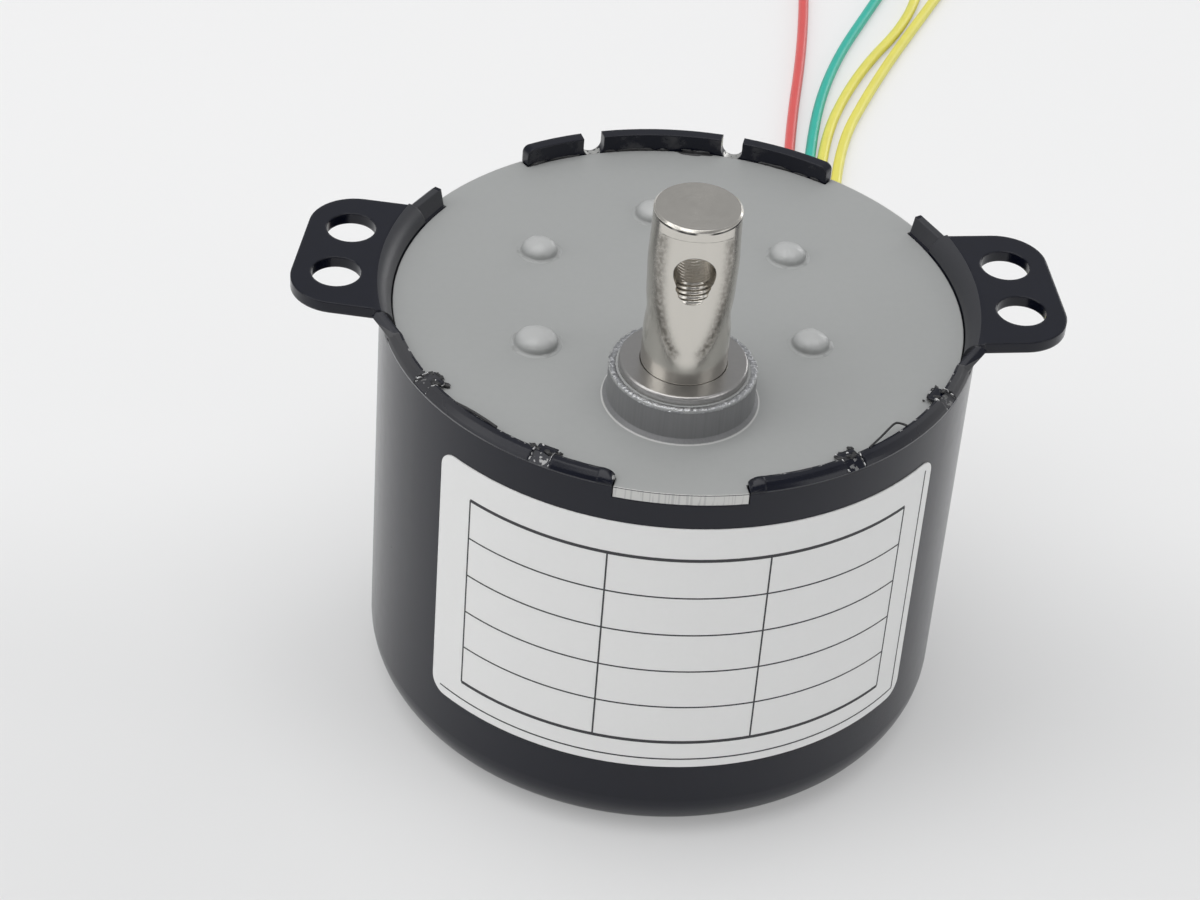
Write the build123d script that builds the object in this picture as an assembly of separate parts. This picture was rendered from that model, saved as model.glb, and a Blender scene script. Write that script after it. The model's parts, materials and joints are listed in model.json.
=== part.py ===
"""A 50 mm synchronous gear motor with two mounting ears and four leads.

A drawn steel can holds two stacked claw-pole stators round a ring-magnet rotor. Above them six gear meshes,
on five pins set in a ring, slow the rotor 500 times and turn the output shaft, which stands up through the
cover plate away from the middle. Millimetres, +Z up along the output shaft. The origin is the middle of the
can's flat bottom, the ears lie along X and the output shaft and the label are on the -Y side. Bearings are
degrees clockwise from +Y, seen from above.
"""

import os
from math import acos, asin, atan2, cos, degrees, dist, pi, radians, sin, tan

from build123d import *

# The can, one drawing of painted sheet steel.
can_diameter = 50.0
sheet = 1.0
bottom_radius = 4.3
rim_height = 39.0
rim_corner = 0.6  # rounding of the rim's upper corners where it is cut away
overrun = 1.0  # how far a cutting body reaches past what it cuts

# The cover plate and the rim that holds it.
rim_standing = 1.6  # how far the rim stands above the plate
cover_thickness = 1.0
cover_clearance = 0.1
tab_clearance = 0.1
lip_standing = 0.7  # how far the front rim, pressed down over the plate, stands above it
lip_lean = 0.2  # how far the front rim leans in over the plate
lip_edge = 0.35  # bevel along the outer edge of the front rim
lip_end_standing = 0.25  # what is left of the front rim's height at the notch
lip_end_edge = 0.1
lip_end_turn = 3.0  # bearing over which it comes down to that
notch_half_angle = 12.5
lip_end_bearing = 107.0
strip_end_bearing = 57.2
tab_end_bearing = 33.3
rim_slot_bearings = (-18.0, 11.7)
rim_slot_width = 1.9
rim_slot_depth = 1.9
stake_bearings = (-122.5, -153.2, 146.0, 117.5)
stake_width = 1.8
stake_lean = 1.0  # how far a stake drives its tongue of the rim in over the plate
stake_height = 0.55

# The two mounting ears, bent out of the rim.
ear_bearing = 83.0
ear_drop = 0.1  # from the rim's top down to the ears' top
ear_width = 15.6
ear_length = 7.2  # from the can's wall to the ear's end
ear_corner = 4.0
ear_bend = 0.65  # radius on the inner side of the bend
flare_standing = 1.3  # how far the rim at an ear's edge stands above the plate
flare_lean = 0.9  # how far the rim at an ear's edge leans out with it
flare_edge = 0.4  # bevel along the outer edge of the leaning rim
flare_end_lean = 0.5  # how far its free end leans out
flare_root = 0.2  # how deep the leaning rim is rooted in the wall
flare_step = 0.1  # from the wall's faces in to those of the root
ear_hole_diameter = 4.2
ear_hole_share = 0.486  # place of the holes along the ear
ear_hole_pitch = 6.6

# The output shaft, its bush and the collar drawn up from the plate.
output_share = 0.5167  # place of the output shaft across the can's bore
shaft_diameter = 7.0
shaft_projection = 14.7  # from the bush to the shaft's end
shaft_chamfer = 0.25
shaft_cap = 1.0  # round end left above the ground flats
flat_depth = 0.75
flat_setback = 3.9  # from the shaft's end to where the flats are deepest
flat_grind_radius = 48.0
cross_hole_diameter = 3.4
cross_hole_setback = 4.7  # from the shaft's end
cross_hole_chamfer = 0.3
running_clearance = 0.04
collar_diameter = 12.0
collar_height = 3.1
collar_foot = 0.4
bush_diameter = 10.4
bush_proud = 0.7  # how far the bush stands out of the collar
bush_edge = 0.2
bush_flange_diameter = 13.0
bush_flange = 0.8
gear_seat_diameter = 6.0
journal_diameter = 4.0
journal_shoulder_diameter = 5.0
foot_bush_diameter = 6.4
foot_bush_height = 2.2
output_washer_diameter = 10.0

# The gear pins, first to fifth, and their domes on the plate.
pin_bearings = (111.2, 48.5, -8.6, -59.2, -117.8)
pin_shares = (0.4875, 0.525, 0.575, 0.575, 0.5542)  # places of the pins across the can's bore
pin_diameter = 1.5
last_pin_diameter = 2.0
dome_wall = 0.75
dome_height = 0.7
dome_edge = 0.4
pin_end_clearance = 0.1

# The gear train. Six meshes at three heights, low, middle and high, used twice over.
driver_teeth = (12, 12, 14, 14, 14, 16)
driven_teeth = (48, 48, 35, 35, 35, 32)
gear_space = 11.0
base_plate_thickness = 1.2
low_gap = 0.6  # from the base plate to the lowest wheel
level_gap = 0.5
low_width = 2.2
middle_width = 2.7
high_width = 3.4
hub_root_gap = 0.19  # from the hubs to the root of the smallest pinion
end_float = 0.15
pressure_angle = 25.0
backlash = 0.05
addendum_share = 0.8
dedendum_share = 1.05

# The posts that hold the two plates apart.
post_diameter = 3.2
post_edge = 1.9  # from the can's bore to the middle of a post
post_bearings = (20.0, 146.0, -86.0)

# The rotor and its fixed axle.
axle_diameter = 2.0
axle_seat = 0.6  # how deep the rotor's axle is let into the can's bottom
axle_bush_diameter = 7.0
axle_bush_height = 1.4
axle_top_room = 1.2
clip_diameter = 3.8
clip_thickness = 0.35
clip_float = 0.05
washer_diameter = 5.0
washer_thickness = 0.3
magnet_share = 0.4375  # diameter of the magnet, of the can's bore
magnet_wall = 4.5
rotor_end_gap = 1.0
pinion_spigot = 5.0
pinion_neck_diameter = 3.6
base_hole_diameter = 6.4

# The two stators: pole plates with bent-up claws, bobbins and windings.
pole_pairs = 6
pole_sheet = 1.0
pole_clearance = 0.1
air_gap = 0.4
claw_root_width = 5.2
claw_tip_width = 3.2
claw_end_gap = 1.0
bobbin_clearance = 0.2
bobbin_wall = 0.7
bobbin_side_gap = 1.5  # from the can's bore to the bobbin's flange
bobbin_flange = 0.8
winding_margin = 1.5  # from the edge of the flange to the winding

# The rating label, a thin curved sheet on the front of the can.
label_thickness = 0.1
label_bottom = 8.4
label_top_gap = 5.0  # from the rim's top down to the label
label_width = 45.8
label_bearing = 176.3
label_corner = 1.5

# The lead outlet in the back wall and the four leads.
outlet_bearing = 18.0
outlet_width = 9.6
outlet_height = 4.6
outlet_proud = 1.4
outlet_depth = 1.3
outlet_clearance = 0.05
outlet_lip = 0.5
lead_count = 4
lead_diameter = 1.2
lead_pitch = 1.9
lead_clearance = 0.03
lead_straight = 12.2
lead_touchdown = 55.0  # from the middle of the can to where the leads meet the floor
tin_length = 6.0
tin_diameter = 0.7
bend_share = 0.45

# Floor points of each lead, read off the photograph, then its unseen tail.
red_floor = ((15.8, 83.7), (18.3, 108.0), (19.4, 131.0), (17.4, 150.0))
green_floor = ((18.2, 82.7), (21.3, 99.2), (28.3, 117.0), (33.5, 132.0), (36.0, 146.0))
near_yellow_floor = ((19.8, 82.1), (25.1, 100.2), (31.2, 115.0), (34.4, 130.0), (41.5, 142.0))
far_yellow_floor = ((21.4, 81.1), (26.9, 99.0), (33.9, 116.5), (39.5, 129.0), (48.5, 138.0))

# Sizes that follow from those above.
can_radius = can_diameter / 2
can_bore = can_radius - sheet
cover_top = rim_height - rim_standing
lip_top = cover_top + lip_standing
cover_bottom = cover_top - cover_thickness
cover_radius = can_bore - cover_clearance
ear_top = rim_height - ear_drop
ear_reach = can_radius + ear_length
output_offset = output_share * can_bore
collar_top = cover_top + collar_height
bush_top = collar_top + bush_proud
shaft_top = bush_top + shaft_projection
flat_deepest = shaft_top - flat_setback
cross_hole_height = shaft_top - cross_hole_setback
post_reach = can_bore - post_edge
bobbin_flange_diameter = 2 * (can_bore - bobbin_side_gap)
winding_diameter = bobbin_flange_diameter - 2 * winding_margin
base_top = cover_bottom - gear_space
base_bottom = base_top - base_plate_thickness
shaft_radius = shaft_diameter / 2
stack_height = base_bottom - sheet
bobbin_height = stack_height / 2 - 2 * pole_sheet
outlet_middle = sheet + pole_sheet + bobbin_height / 2
magnet_diameter = 2 * magnet_share * can_bore
magnet_bore = magnet_diameter - 2 * magnet_wall
claw_bore = magnet_diameter / 2 + air_gap
claw_outer = claw_bore + pole_sheet
low_bottom = base_top + low_gap
middle_bottom = low_bottom + low_width + level_gap
high_bottom = middle_bottom + middle_width + level_gap
levels = ((low_bottom, low_width), (middle_bottom, middle_width), (high_bottom, high_width))
BOTTOM = (Align.CENTER, Align.CENTER, Align.MIN)
OUTWARD = (Align.MIN, Align.CENTER, Align.MIN)
THROUGH = (Align.CENTER, Align.CENTER, Align.CENTER)
parts = {}


def heading(bearing):
    """Turn that carries +X round to a bearing."""
    return Rot(0, 0, 90 - bearing)


def polar(reach, bearing):
    """Point on the floor at a distance and bearing from the can's axis."""
    return (reach * sin(radians(bearing)), reach * cos(radians(bearing)))


def disc(diameter, bottom, top, at=(0, 0)):
    """Upright cylinder between two heights."""
    return Pos(at[0], at[1], bottom) * Cylinder(diameter / 2, top - bottom, align=BOTTOM)


def tube(outer, inner, bottom, top, at=(0, 0)):
    """Upright tube between two heights."""
    return disc(outer, bottom, top, at) - disc(inner, bottom - overrun, top + overrun, at)


def sector(outer, inner, bottom, top, first, last):
    """Part of a tube round the can's axis, between two bearings."""
    upright = (Align.NONE, Align.NONE, Align.MIN)
    piece = Cylinder(outer / 2, top - bottom, arc_size=last - first, align=upright)
    return Pos(0, 0, bottom) * Rot(0, 0, 90 - last) * piece - disc(inner, bottom - overrun, top + overrun)


def turned(profile, first, last):
    """Profile of radius and height, turned about the can's axis between two bearings."""
    return Rot(0, 0, 90 - last) * revolve(profile, Axis.Z, revolution_arc=last - first)


def rim_slab(bearing, standing, lean, edge):
    """Section across the rim at a bearing, rooted in the wall, leaning in, its outer edge bevelled."""
    foot = cover_top - flare_root
    top = cover_top + standing
    outline = Polyline(
        (can_bore + flare_step, foot),
        (can_radius - flare_step, foot),
        (can_radius - lean, top - edge),
        (can_radius - lean - edge, top),
        (can_bore - lean, top),
        close=True,
    )
    return heading(bearing) * (Plane.XZ * make_face(outline))


def involute(angle):
    """Involute function of a pressure angle."""
    return tan(angle) - angle


def toothed(teeth, module, bottom, width, at, towards, on_space):
    """Spur gear blank with involute teeth, a tooth or a space of it facing a point."""
    pitch = teeth * module / 2
    base = pitch * cos(radians(pressure_angle))
    root = pitch - dedendum_share * module
    tip = pitch + addendum_share * module
    flank = sorted({root, max(root, base), pitch, tip}) if base > root else [root, tip]
    half_pitch = pi / (2 * teeth) - backlash / (2 * pitch) + involute(radians(pressure_angle))
    facing = atan2(towards[1] - at[1], towards[0] - at[0]) + (pi / teeth if on_space else 0)
    outline = []
    for tooth in range(teeth):
        middle = facing + 2 * pi * tooth / teeth
        half = [half_pitch - involute(acos(min(1, base / radius))) for radius in flank]
        rise = [(radius, middle - angle) for radius, angle in zip(flank, half)]
        fall = [(radius, middle + angle) for radius, angle in zip(reversed(flank), reversed(half))]
        outline += [(radius * cos(angle), radius * sin(angle)) for radius, angle in rise + fall]
    blank = extrude(make_face(Polyline(*outline, close=True)), amount=width)
    return Pos(at[0], at[1], bottom) * blank


# The can: a drawn cup whose rim is slotted, bent out into ears and pressed in over the plate.
cup = fillet(disc(can_diameter, 0, rim_height).edges().group_by(Axis.Z)[0], bottom_radius)
hollow = disc(2 * can_bore, sheet, rim_height + overrun)
cup -= fillet(hollow.edges().group_by(Axis.Z)[0], bottom_radius - sheet)
cup -= disc(axle_diameter, sheet - axle_seat, sheet + overrun)
cut_outer = can_diameter + 2 * overrun
cut_inner = 2 * (can_bore - overrun)
cut_top = rim_height + overrun
ear_half_angle = degrees(asin(ear_width / can_diameter))
bend_middle = can_radius + ear_bend
bend_foot = ear_top - sheet - ear_bend
outside = CenterArc((bend_middle, bend_foot), ear_bend + sheet, 90, 90)
inside = CenterArc((bend_middle, bend_foot), ear_bend, 90, 90)
bend_ends = [Line(outside @ 0, inside @ 0), Line(outside @ 1, inside @ 1)]
bend_profile = Plane.XZ * make_face([outside, inside, *bend_ends])
lean_profile = Plane.XZ * make_face(
    Polyline(
        (can_bore, cover_top),
        (can_radius, cover_top),
        (can_radius - lip_lean, lip_top - lip_edge),
        (can_radius - lip_lean - lip_edge, lip_top),
        (can_bore - lip_lean, lip_top),
        close=True,
    )
)
cup -= sector(cut_outer, cut_inner, cover_bottom, cut_top, 180 - notch_half_angle, 180 + notch_half_angle)
for side in (1, -1):
    gap = sorted((side * tab_end_bearing, side * strip_end_bearing))
    cup -= sector(cut_outer, cut_inner, cover_bottom, cut_top, *gap)
    lip_cut = sorted((side * (ear_bearing + ear_half_angle), side * (180 - notch_half_angle)))
    cup -= sector(cut_outer, cut_inner, cover_top, cut_top, *lip_cut)
back_limit = (tab_end_bearing + strip_end_bearing) / 2
rim_ends = []
for edge in cup.edges().filter_by(GeomType.LINE).group_by(Axis.Z)[-1]:
    edge_bearing = abs(degrees(atan2(edge.center().X, edge.center().Y)))
    if edge_bearing < back_limit:
        rim_ends.append(edge)
cup = fillet(rim_ends, rim_corner)
for side in (1, -1):
    ear_back = side * (ear_bearing - ear_half_angle)
    ear_front = side * (ear_bearing + ear_half_angle)
    free_end = side * strip_end_bearing
    cup -= sector(cut_outer, cut_inner, cover_top, cut_top, *sorted((free_end, ear_back)))
    lip_start = side * lip_end_bearing
    lip_end = side * (180 - notch_half_angle)
    lip_slope = side * (180 - notch_half_angle - lip_end_turn)
    back_slab = rim_slab(ear_back, flare_standing, -flare_lean, flare_edge)
    cup += loft([rim_slab(free_end, rim_standing, -flare_end_lean, flare_edge), back_slab])
    front_slab = rim_slab(ear_front, flare_standing, -flare_lean, flare_edge)
    cup += loft([front_slab, rim_slab(lip_start, lip_standing, lip_lean, lip_edge)])
    cup += turned(lean_profile, *sorted((lip_start, lip_slope)))
    end_slab = rim_slab(lip_end, lip_end_standing, 0, lip_end_edge)
    cup += loft([rim_slab(lip_slope, lip_standing, lip_lean, lip_edge), end_slab])
    ear_span = sorted((ear_back, ear_front))
    cup -= sector(cut_outer, cut_inner, bend_foot, cut_top, *ear_span)
    cup += turned(bend_profile, *ear_span)
    ear = Pos(0, 0, ear_top - sheet) * Box(ear_reach, ear_width, sheet, align=OUTWARD)
    ear = fillet(ear.edges().filter_by(Axis.Z).group_by(Axis.X)[-1], ear_corner)
    ear -= disc(2 * bend_middle, ear_top - sheet - overrun, ear_top + overrun)
    for step in (-1, 1):
        hole = (can_radius + ear_hole_share * ear_length, step * ear_hole_pitch / 2)
        ear -= disc(ear_hole_diameter, ear_top - sheet - overrun, ear_top + overrun, hole)
    cup += heading(side * ear_bearing) * ear
stake_profile = Plane.XZ * make_face(
    Polyline(
        (can_bore, cover_top),
        (can_radius, cover_top),
        (can_radius - stake_lean, cover_top + stake_height),
        (can_bore - stake_lean, cover_top + stake_height),
        close=True,
    )
)
stake_turn = degrees(stake_width / can_diameter)
for bearing in stake_bearings:
    cup -= sector(cut_outer, cut_inner, cover_top, cut_top, bearing - stake_turn, bearing + stake_turn)
    cup += turned(stake_profile, bearing - stake_turn, bearing + stake_turn)
for bearing in rim_slot_bearings:
    slot_low = Pos(can_radius, 0, rim_height - rim_slot_depth + rim_slot_width / 2)
    slot = slot_low * Rot(0, 90, 0) * Cylinder(rim_slot_width / 2, cut_outer - cut_inner)
    slot += slot_low * Box(cut_outer - cut_inner, rim_slot_width, rim_slot_depth + overrun, align=BOTTOM)
    cup -= heading(bearing) * slot

# The lead outlet: a moulded block in a window of the back wall, held by a lip inside.
outlet_inner = can_bore - outlet_depth
outlet_outer = can_radius + outlet_proud
outlet_length = outlet_outer - outlet_inner
outlet_base = Pos(outlet_inner, 0, outlet_middle - outlet_height / 2)
window_width = outlet_width + 2 * outlet_clearance
window_height = outlet_height + 2 * outlet_clearance
window = Pos(outlet_inner, 0, outlet_middle - window_height / 2)
cup -= heading(outlet_bearing) * window * Box(outlet_length, window_width, window_height, align=OUTWARD)
outlet = outlet_base * Box(outlet_length, outlet_width, outlet_height, align=OUTWARD)
lip_height = outlet_height + 2 * outlet_lip
lip_base = Pos(outlet_inner, 0, outlet_middle - lip_height / 2)
lip_block = lip_base * Box(outlet_length, outlet_width + 2 * outlet_lip, lip_height, align=OUTWARD)
outlet += lip_block & disc(2 * (can_bore - outlet_clearance), 0, rim_height)
first_offset = -lead_pitch * (lead_count - 1) / 2
lead_offsets = [first_offset + place * lead_pitch for place in range(lead_count)]
for offset in lead_offsets:
    lead_hole = Cylinder(lead_diameter / 2 + lead_clearance, 2 * (outlet_length + overrun))
    outlet -= Pos(outlet_inner, -offset, outlet_middle) * Rot(0, 90, 0) * lead_hole
parts["lead_outlet"] = heading(outlet_bearing) * outlet
parts["drum_can"] = cup

# The axes of the gear train, from the rotor to the output.
output_axis = (0, -output_offset)
gear_pins = [polar(share * can_bore, bearing) for share, bearing in zip(pin_shares, pin_bearings)]
axes = [(0, 0), *gear_pins, output_axis]
pin_diameters = [pin_diameter] * 4 + [last_pin_diameter]
modules = [2 * dist(axes[i], axes[i + 1]) / (driver_teeth[i] + driven_teeth[i]) for i in range(6)]
pinion_roots = [modules[i] * (driver_teeth[i] / 2 - dedendum_share) for i in range(1, 6)]
hub_diameter = 2 * (min(pinion_roots) - hub_root_gap)
high_top = high_bottom + high_width

# The cover plate, with tabs that rest in the gaps of the rim, domes over the pins and a drawn collar.
cover = disc(2 * cover_radius, cover_bottom, cover_top)
tab_turn = degrees(tab_clearance / can_radius)
tab_spans = [
    (180 - notch_half_angle, 180 + notch_half_angle),
    (tab_end_bearing, strip_end_bearing),
    (-strip_end_bearing, -tab_end_bearing),
]
for first, last in tab_spans:
    cover += sector(can_diameter, cut_inner, cover_bottom, cover_top, first + tab_turn, last - tab_turn)
for pin, diameter in zip(gear_pins, pin_diameters):
    dome = disc(diameter + 2 * dome_wall, cover_top, cover_top + dome_height, pin)
    cover += fillet(dome.edges().group_by(Axis.Z)[-1], dome_edge)
    hole_top = cover_top + pin_end_clearance
    cover -= disc(diameter + 2 * pin_end_clearance, cover_bottom - overrun, hole_top, pin)
collar = disc(collar_diameter, cover_bottom, collar_top, output_axis)
foot = Pos(output_axis[0], output_axis[1], cover_top)
collar += foot * Cone(collar_diameter / 2 + collar_foot, collar_diameter / 2, collar_foot, align=BOTTOM)
cover += collar
cover -= disc(bush_diameter, cover_bottom - overrun, collar_top + overrun, output_axis)
parts["cover_plate"] = cover

# The output shaft, its bearings and its gear.
flange_bottom = cover_bottom - bush_flange
bush = disc(bush_diameter, flange_bottom, bush_top, output_axis)
bush = fillet(bush.edges().group_by(Axis.Z)[-1], bush_edge)
bush += disc(bush_flange_diameter, flange_bottom, cover_bottom, output_axis)
bush_bore = shaft_diameter + 2 * running_clearance
parts["output_bush"] = bush - disc(bush_bore, flange_bottom - overrun, bush_top + overrun, output_axis)
foot_bush_top = base_bottom + foot_bush_height
foot_bore = journal_diameter + 2 * running_clearance
parts["output_foot_bush"] = tube(foot_bush_diameter, foot_bore, base_bottom, foot_bush_top, output_axis)
upper_shaft = disc(shaft_diameter, high_top, shaft_top, output_axis)
shaft = chamfer(upper_shaft.edges().group_by(Axis.Z)[-1], shaft_chamfer)
shaft += disc(gear_seat_diameter, high_bottom, high_top, output_axis)
shaft += disc(journal_shoulder_diameter, foot_bush_top + end_float, high_bottom, output_axis)
shaft += disc(journal_diameter, base_bottom + end_float, foot_bush_top + end_float, output_axis)
for side in (1, -1):
    wheel_y = output_axis[1] + side * (shaft_radius - flat_depth + flat_grind_radius)
    wheel = Cylinder(flat_grind_radius, shaft_diameter + 2 * overrun)
    wheel = Pos(output_axis[0], wheel_y, flat_deepest) * Rot(0, 90, 0) * wheel
    shaft -= wheel & disc(4 * flat_grind_radius, 0, shaft_top - shaft_cap, output_axis)
cross = Pos(output_axis[0], output_axis[1], cross_hole_height) * Rot(90, 0, 0)
shaft -= cross * Cylinder(cross_hole_diameter / 2, shaft_diameter + 2 * overrun)
mouth_radius = cross_hole_diameter / 2 + cross_hole_chamfer
mouth_depth = shaft_radius - flat_depth - cross_hole_chamfer
for turn in (0, 180):
    funnel = Cone(cross_hole_diameter / 2, mouth_radius, cross_hole_chamfer, align=BOTTOM)
    mouth = Pos(0, 0, mouth_depth) * funnel
    mouth += Pos(0, 0, mouth_depth + cross_hole_chamfer) * Cylinder(mouth_radius, overrun, align=BOTTOM)
    shaft -= cross * Rot(turn, 0, 0) * mouth
parts["output_shaft"] = shaft
output_gear = toothed(driven_teeth[5], modules[5], high_bottom, high_width, axes[6], axes[5], True)
gear_seat = disc(gear_seat_diameter, high_bottom - overrun, high_top + overrun, axes[6])
parts["output_gear"] = output_gear - gear_seat
output_washer_top = flange_bottom - clip_float
parts["output_washer"] = tube(output_washer_diameter, bush_bore, high_top, output_washer_top, axes[6])

# The base plate on top of the stators, with its pins and posts.
base_plate = disc(2 * cover_radius, base_bottom, base_top)
posts = [polar(post_reach, bearing) for bearing in post_bearings]
seats = [(base_hole_diameter, axes[0]), (foot_bush_diameter, output_axis)]
seats += list(zip(pin_diameters, gear_pins)) + [(post_diameter, post) for post in posts]
for diameter, place in seats:
    base_plate -= disc(diameter, base_bottom - overrun, base_top + overrun, place)
parts["gear_base_plate"] = base_plate
parts["plate_posts"] = Compound([disc(post_diameter, base_bottom, cover_bottom, post) for post in posts])

# Five compound gears: a wheel pressed on the hub of the pinion that drives the next one.
ranks = ("first", "second", "third", "fourth", "fifth")
for place, rank in enumerate(ranks):
    pin = gear_pins[place]
    parts[rank + "_gear_pin"] = disc(pin_diameters[place], base_bottom, cover_top, pin)
    wheel_bottom, wheel_width = levels[place % 3]
    wheel = toothed(driven_teeth[place], modules[place], wheel_bottom, wheel_width, pin, axes[place], True)
    wheel_top = wheel_bottom + wheel_width
    parts[rank + "_wheel"] = wheel - disc(hub_diameter, wheel_bottom - overrun, wheel_top + overrun, pin)
    bottom, width = levels[(place + 1) % 3]
    pinion = disc(hub_diameter, base_top + end_float, cover_bottom - end_float, pin)
    pinion += toothed(driver_teeth[place + 1], modules[place + 1], bottom, width, pin, axes[place + 2], False)
    bore = pin_diameters[place] + 2 * running_clearance
    parts[rank + "_pinion"] = pinion - disc(bore, base_bottom, cover_top, pin)

# The rotor on its fixed axle.
axle_bush_top = sheet + axle_bush_height
washer_top = axle_bush_top + washer_thickness
rotor_bottom = washer_top + clip_float
rotor_top = base_bottom - rotor_end_gap
low_top = low_bottom + low_width
spigot_bottom = rotor_top - pinion_spigot
axle_top = low_top + axle_top_room
rotor_bore = axle_diameter + 2 * running_clearance
parts["rotor_axle"] = disc(axle_diameter, sheet - axle_seat, axle_top)
parts["axle_bush"] = tube(axle_bush_diameter, axle_diameter, sheet, axle_bush_top)
parts["rotor_washer"] = tube(washer_diameter, axle_diameter, axle_bush_top, washer_top)
clip_bottom = low_top + clip_float
parts["axle_clip"] = tube(clip_diameter, axle_diameter, clip_bottom, clip_bottom + clip_thickness)
parts["rotor_magnet"] = tube(magnet_diameter, magnet_bore, rotor_bottom, rotor_top)
hub = tube(magnet_bore, rotor_bore, rotor_bottom, rotor_top)
parts["rotor_hub"] = hub - disc(pinion_neck_diameter, spigot_bottom, rotor_top + overrun)
rotor_pinion = disc(pinion_neck_diameter, spigot_bottom, low_bottom)
rotor_pinion += toothed(driver_teeth[0], modules[0], low_bottom, low_width, axes[0], axes[1], False)
parts["rotor_pinion"] = rotor_pinion - disc(rotor_bore, spigot_bottom - overrun, low_top + overrun)


def pole_plate(bottom, upward, first_bearing_of_claws, outer):
    """Ring of sheet with six tapered claws bent up or down at its bore."""
    plate = tube(outer, 2 * claw_bore, bottom, bottom + pole_sheet)
    length = bobbin_height - claw_end_gap
    root_height = bottom + pole_sheet if upward else bottom
    tip_height = root_height + length if upward else root_height - length
    outline = Polyline(
        (-claw_root_width / 2, root_height),
        (claw_root_width / 2, root_height),
        (claw_tip_width / 2, tip_height),
        (-claw_tip_width / 2, tip_height),
        close=True,
    )
    claw = extrude(Plane.YZ * make_face(outline), amount=2 * claw_outer)
    ring = tube(2 * claw_outer, 2 * claw_bore, min(root_height, tip_height), max(root_height, tip_height))
    for step in range(pole_pairs):
        plate += (heading(first_bearing_of_claws + step * 360 / pole_pairs) * claw) & ring
    return plate


# The two stators, one above the other, the upper one turned by half a pole.
pole_pitch = 360 / (2 * pole_pairs)
plate_outer = 2 * (can_bore - pole_clearance)
floor_plate_outer = 2 * (can_bore - bottom_radius + sheet - pole_clearance)
for rank, stack_bottom, turn in (("lower", sheet, 0), ("upper", sheet + stack_height / 2, pole_pitch / 2)):
    outer = floor_plate_outer if rank == "lower" else plate_outer
    parts[rank + "_stator_bottom_pole"] = pole_plate(stack_bottom, True, turn, outer)
    coil_bottom = stack_bottom + pole_sheet
    coil_top = coil_bottom + bobbin_height
    parts[rank + "_stator_top_pole"] = pole_plate(coil_top, False, turn + pole_pitch, plate_outer)
    bobbin_bore = 2 * (claw_outer + bobbin_clearance)
    barrel = bobbin_bore + 2 * bobbin_wall
    bobbin = tube(barrel, bobbin_bore, coil_bottom, coil_top)
    bobbin += tube(bobbin_flange_diameter, bobbin_bore, coil_bottom, coil_bottom + bobbin_flange)
    bobbin += tube(bobbin_flange_diameter, bobbin_bore, coil_top - bobbin_flange, coil_top)
    parts[rank + "_bobbin"] = bobbin
    winding = tube(winding_diameter, barrel, coil_bottom + bobbin_flange, coil_top - bobbin_flange)
    parts[rank + "_winding"] = winding

# The rating label.
label_turn = degrees(label_width / can_radius) / 2
label_top = rim_height - label_top_gap
label_outer = can_diameter + 2 * label_thickness
label_start = label_bearing - label_turn
label_end = label_bearing + label_turn
label = sector(label_outer, can_diameter, label_bottom, label_top, label_start, label_end)
corners = label.edges().filter_by(GeomType.LINE).filter_by(Axis.Z, reverse=True)
parts["rating_label"] = fillet(corners, label_corner)


def lead_route(offset, floor_points):
    """Route of one lead, from inside the outlet, down to the floor and along it."""
    lead_end = outlet_inner + lead_straight
    level = [(outlet_inner, outlet_middle), (lead_end, outlet_middle), (lead_touchdown, lead_diameter / 2)]
    points = [heading(outlet_bearing) * Pos(reach, -offset, height) for reach, height in level]
    route = [place.position for place in points]
    return route + [Vector(x, y, lead_diameter / 2) for x, y in floor_points]


# The four leads, each a tube along straight runs and tangent bends, with a tinned end.
floors = {
    "red": red_floor,
    "green": green_floor,
    "near_yellow": near_yellow_floor,
    "far_yellow": far_yellow_floor,
}
tin_ends = []
for offset, (colour, floor_points) in zip(lead_offsets, floors.items()):
    route = lead_route(offset, floor_points)
    bends = []
    for before, corner, after in zip(route, route[1:], route[2:]):
        half_turn = radians((corner - before).get_angle(after - corner)) / 2
        shorter = min((corner - before).length, (after - corner).length)
        bends.append(bend_share * shorter / tan(half_turn))
    path = FilletPolyline(*route, radius=bends)
    section = Plane(origin=route[0], z_dir=route[1] - route[0]) * Circle(lead_diameter / 2)
    lead = sweep(section, path=path)
    parts[colour + "_lead"] = lead
    end = Plane(origin=route[-1], z_dir=route[-1] - route[-2])
    tin_ends.append(end * Cylinder(tin_diameter / 2, tin_length, align=BOTTOM))
    expected = pi * lead_diameter**2 / 4 * path.length
    print(colour, "lead length", round(path.length, 1), "bend radii", [round(bend, 1) for bend in bends])
    print("  volume", round(lead.volume, 2), "against", round(expected, 2))
parts["tinned_lead_ends"] = Compound(tin_ends)

os.makedirs("parts", exist_ok=True)
for name, solid in parts.items():
    export_step(solid, "parts/" + name + ".step")
print("modules", [round(module, 3) for module in modules])
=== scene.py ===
"""Looks of the synchronous gear motor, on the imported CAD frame.

The CAD nodes keep their shapes and get finishes. Made here are the leads as smooth curves with twisted
tinned ends, the shaft with soft ground flats and a tapped cross hole, the crimped edge of the collar,
rough skins over the plate's domes, the rounded ends of the front lip, the burrs and slivers of the staked
rim and a plain ruled print on the label.
"""

import json
import random
from functools import partial
from math import cos, exp, pi, radians, sin

import bmesh
import bpy
from mathutils import Matrix, Vector, noise


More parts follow.
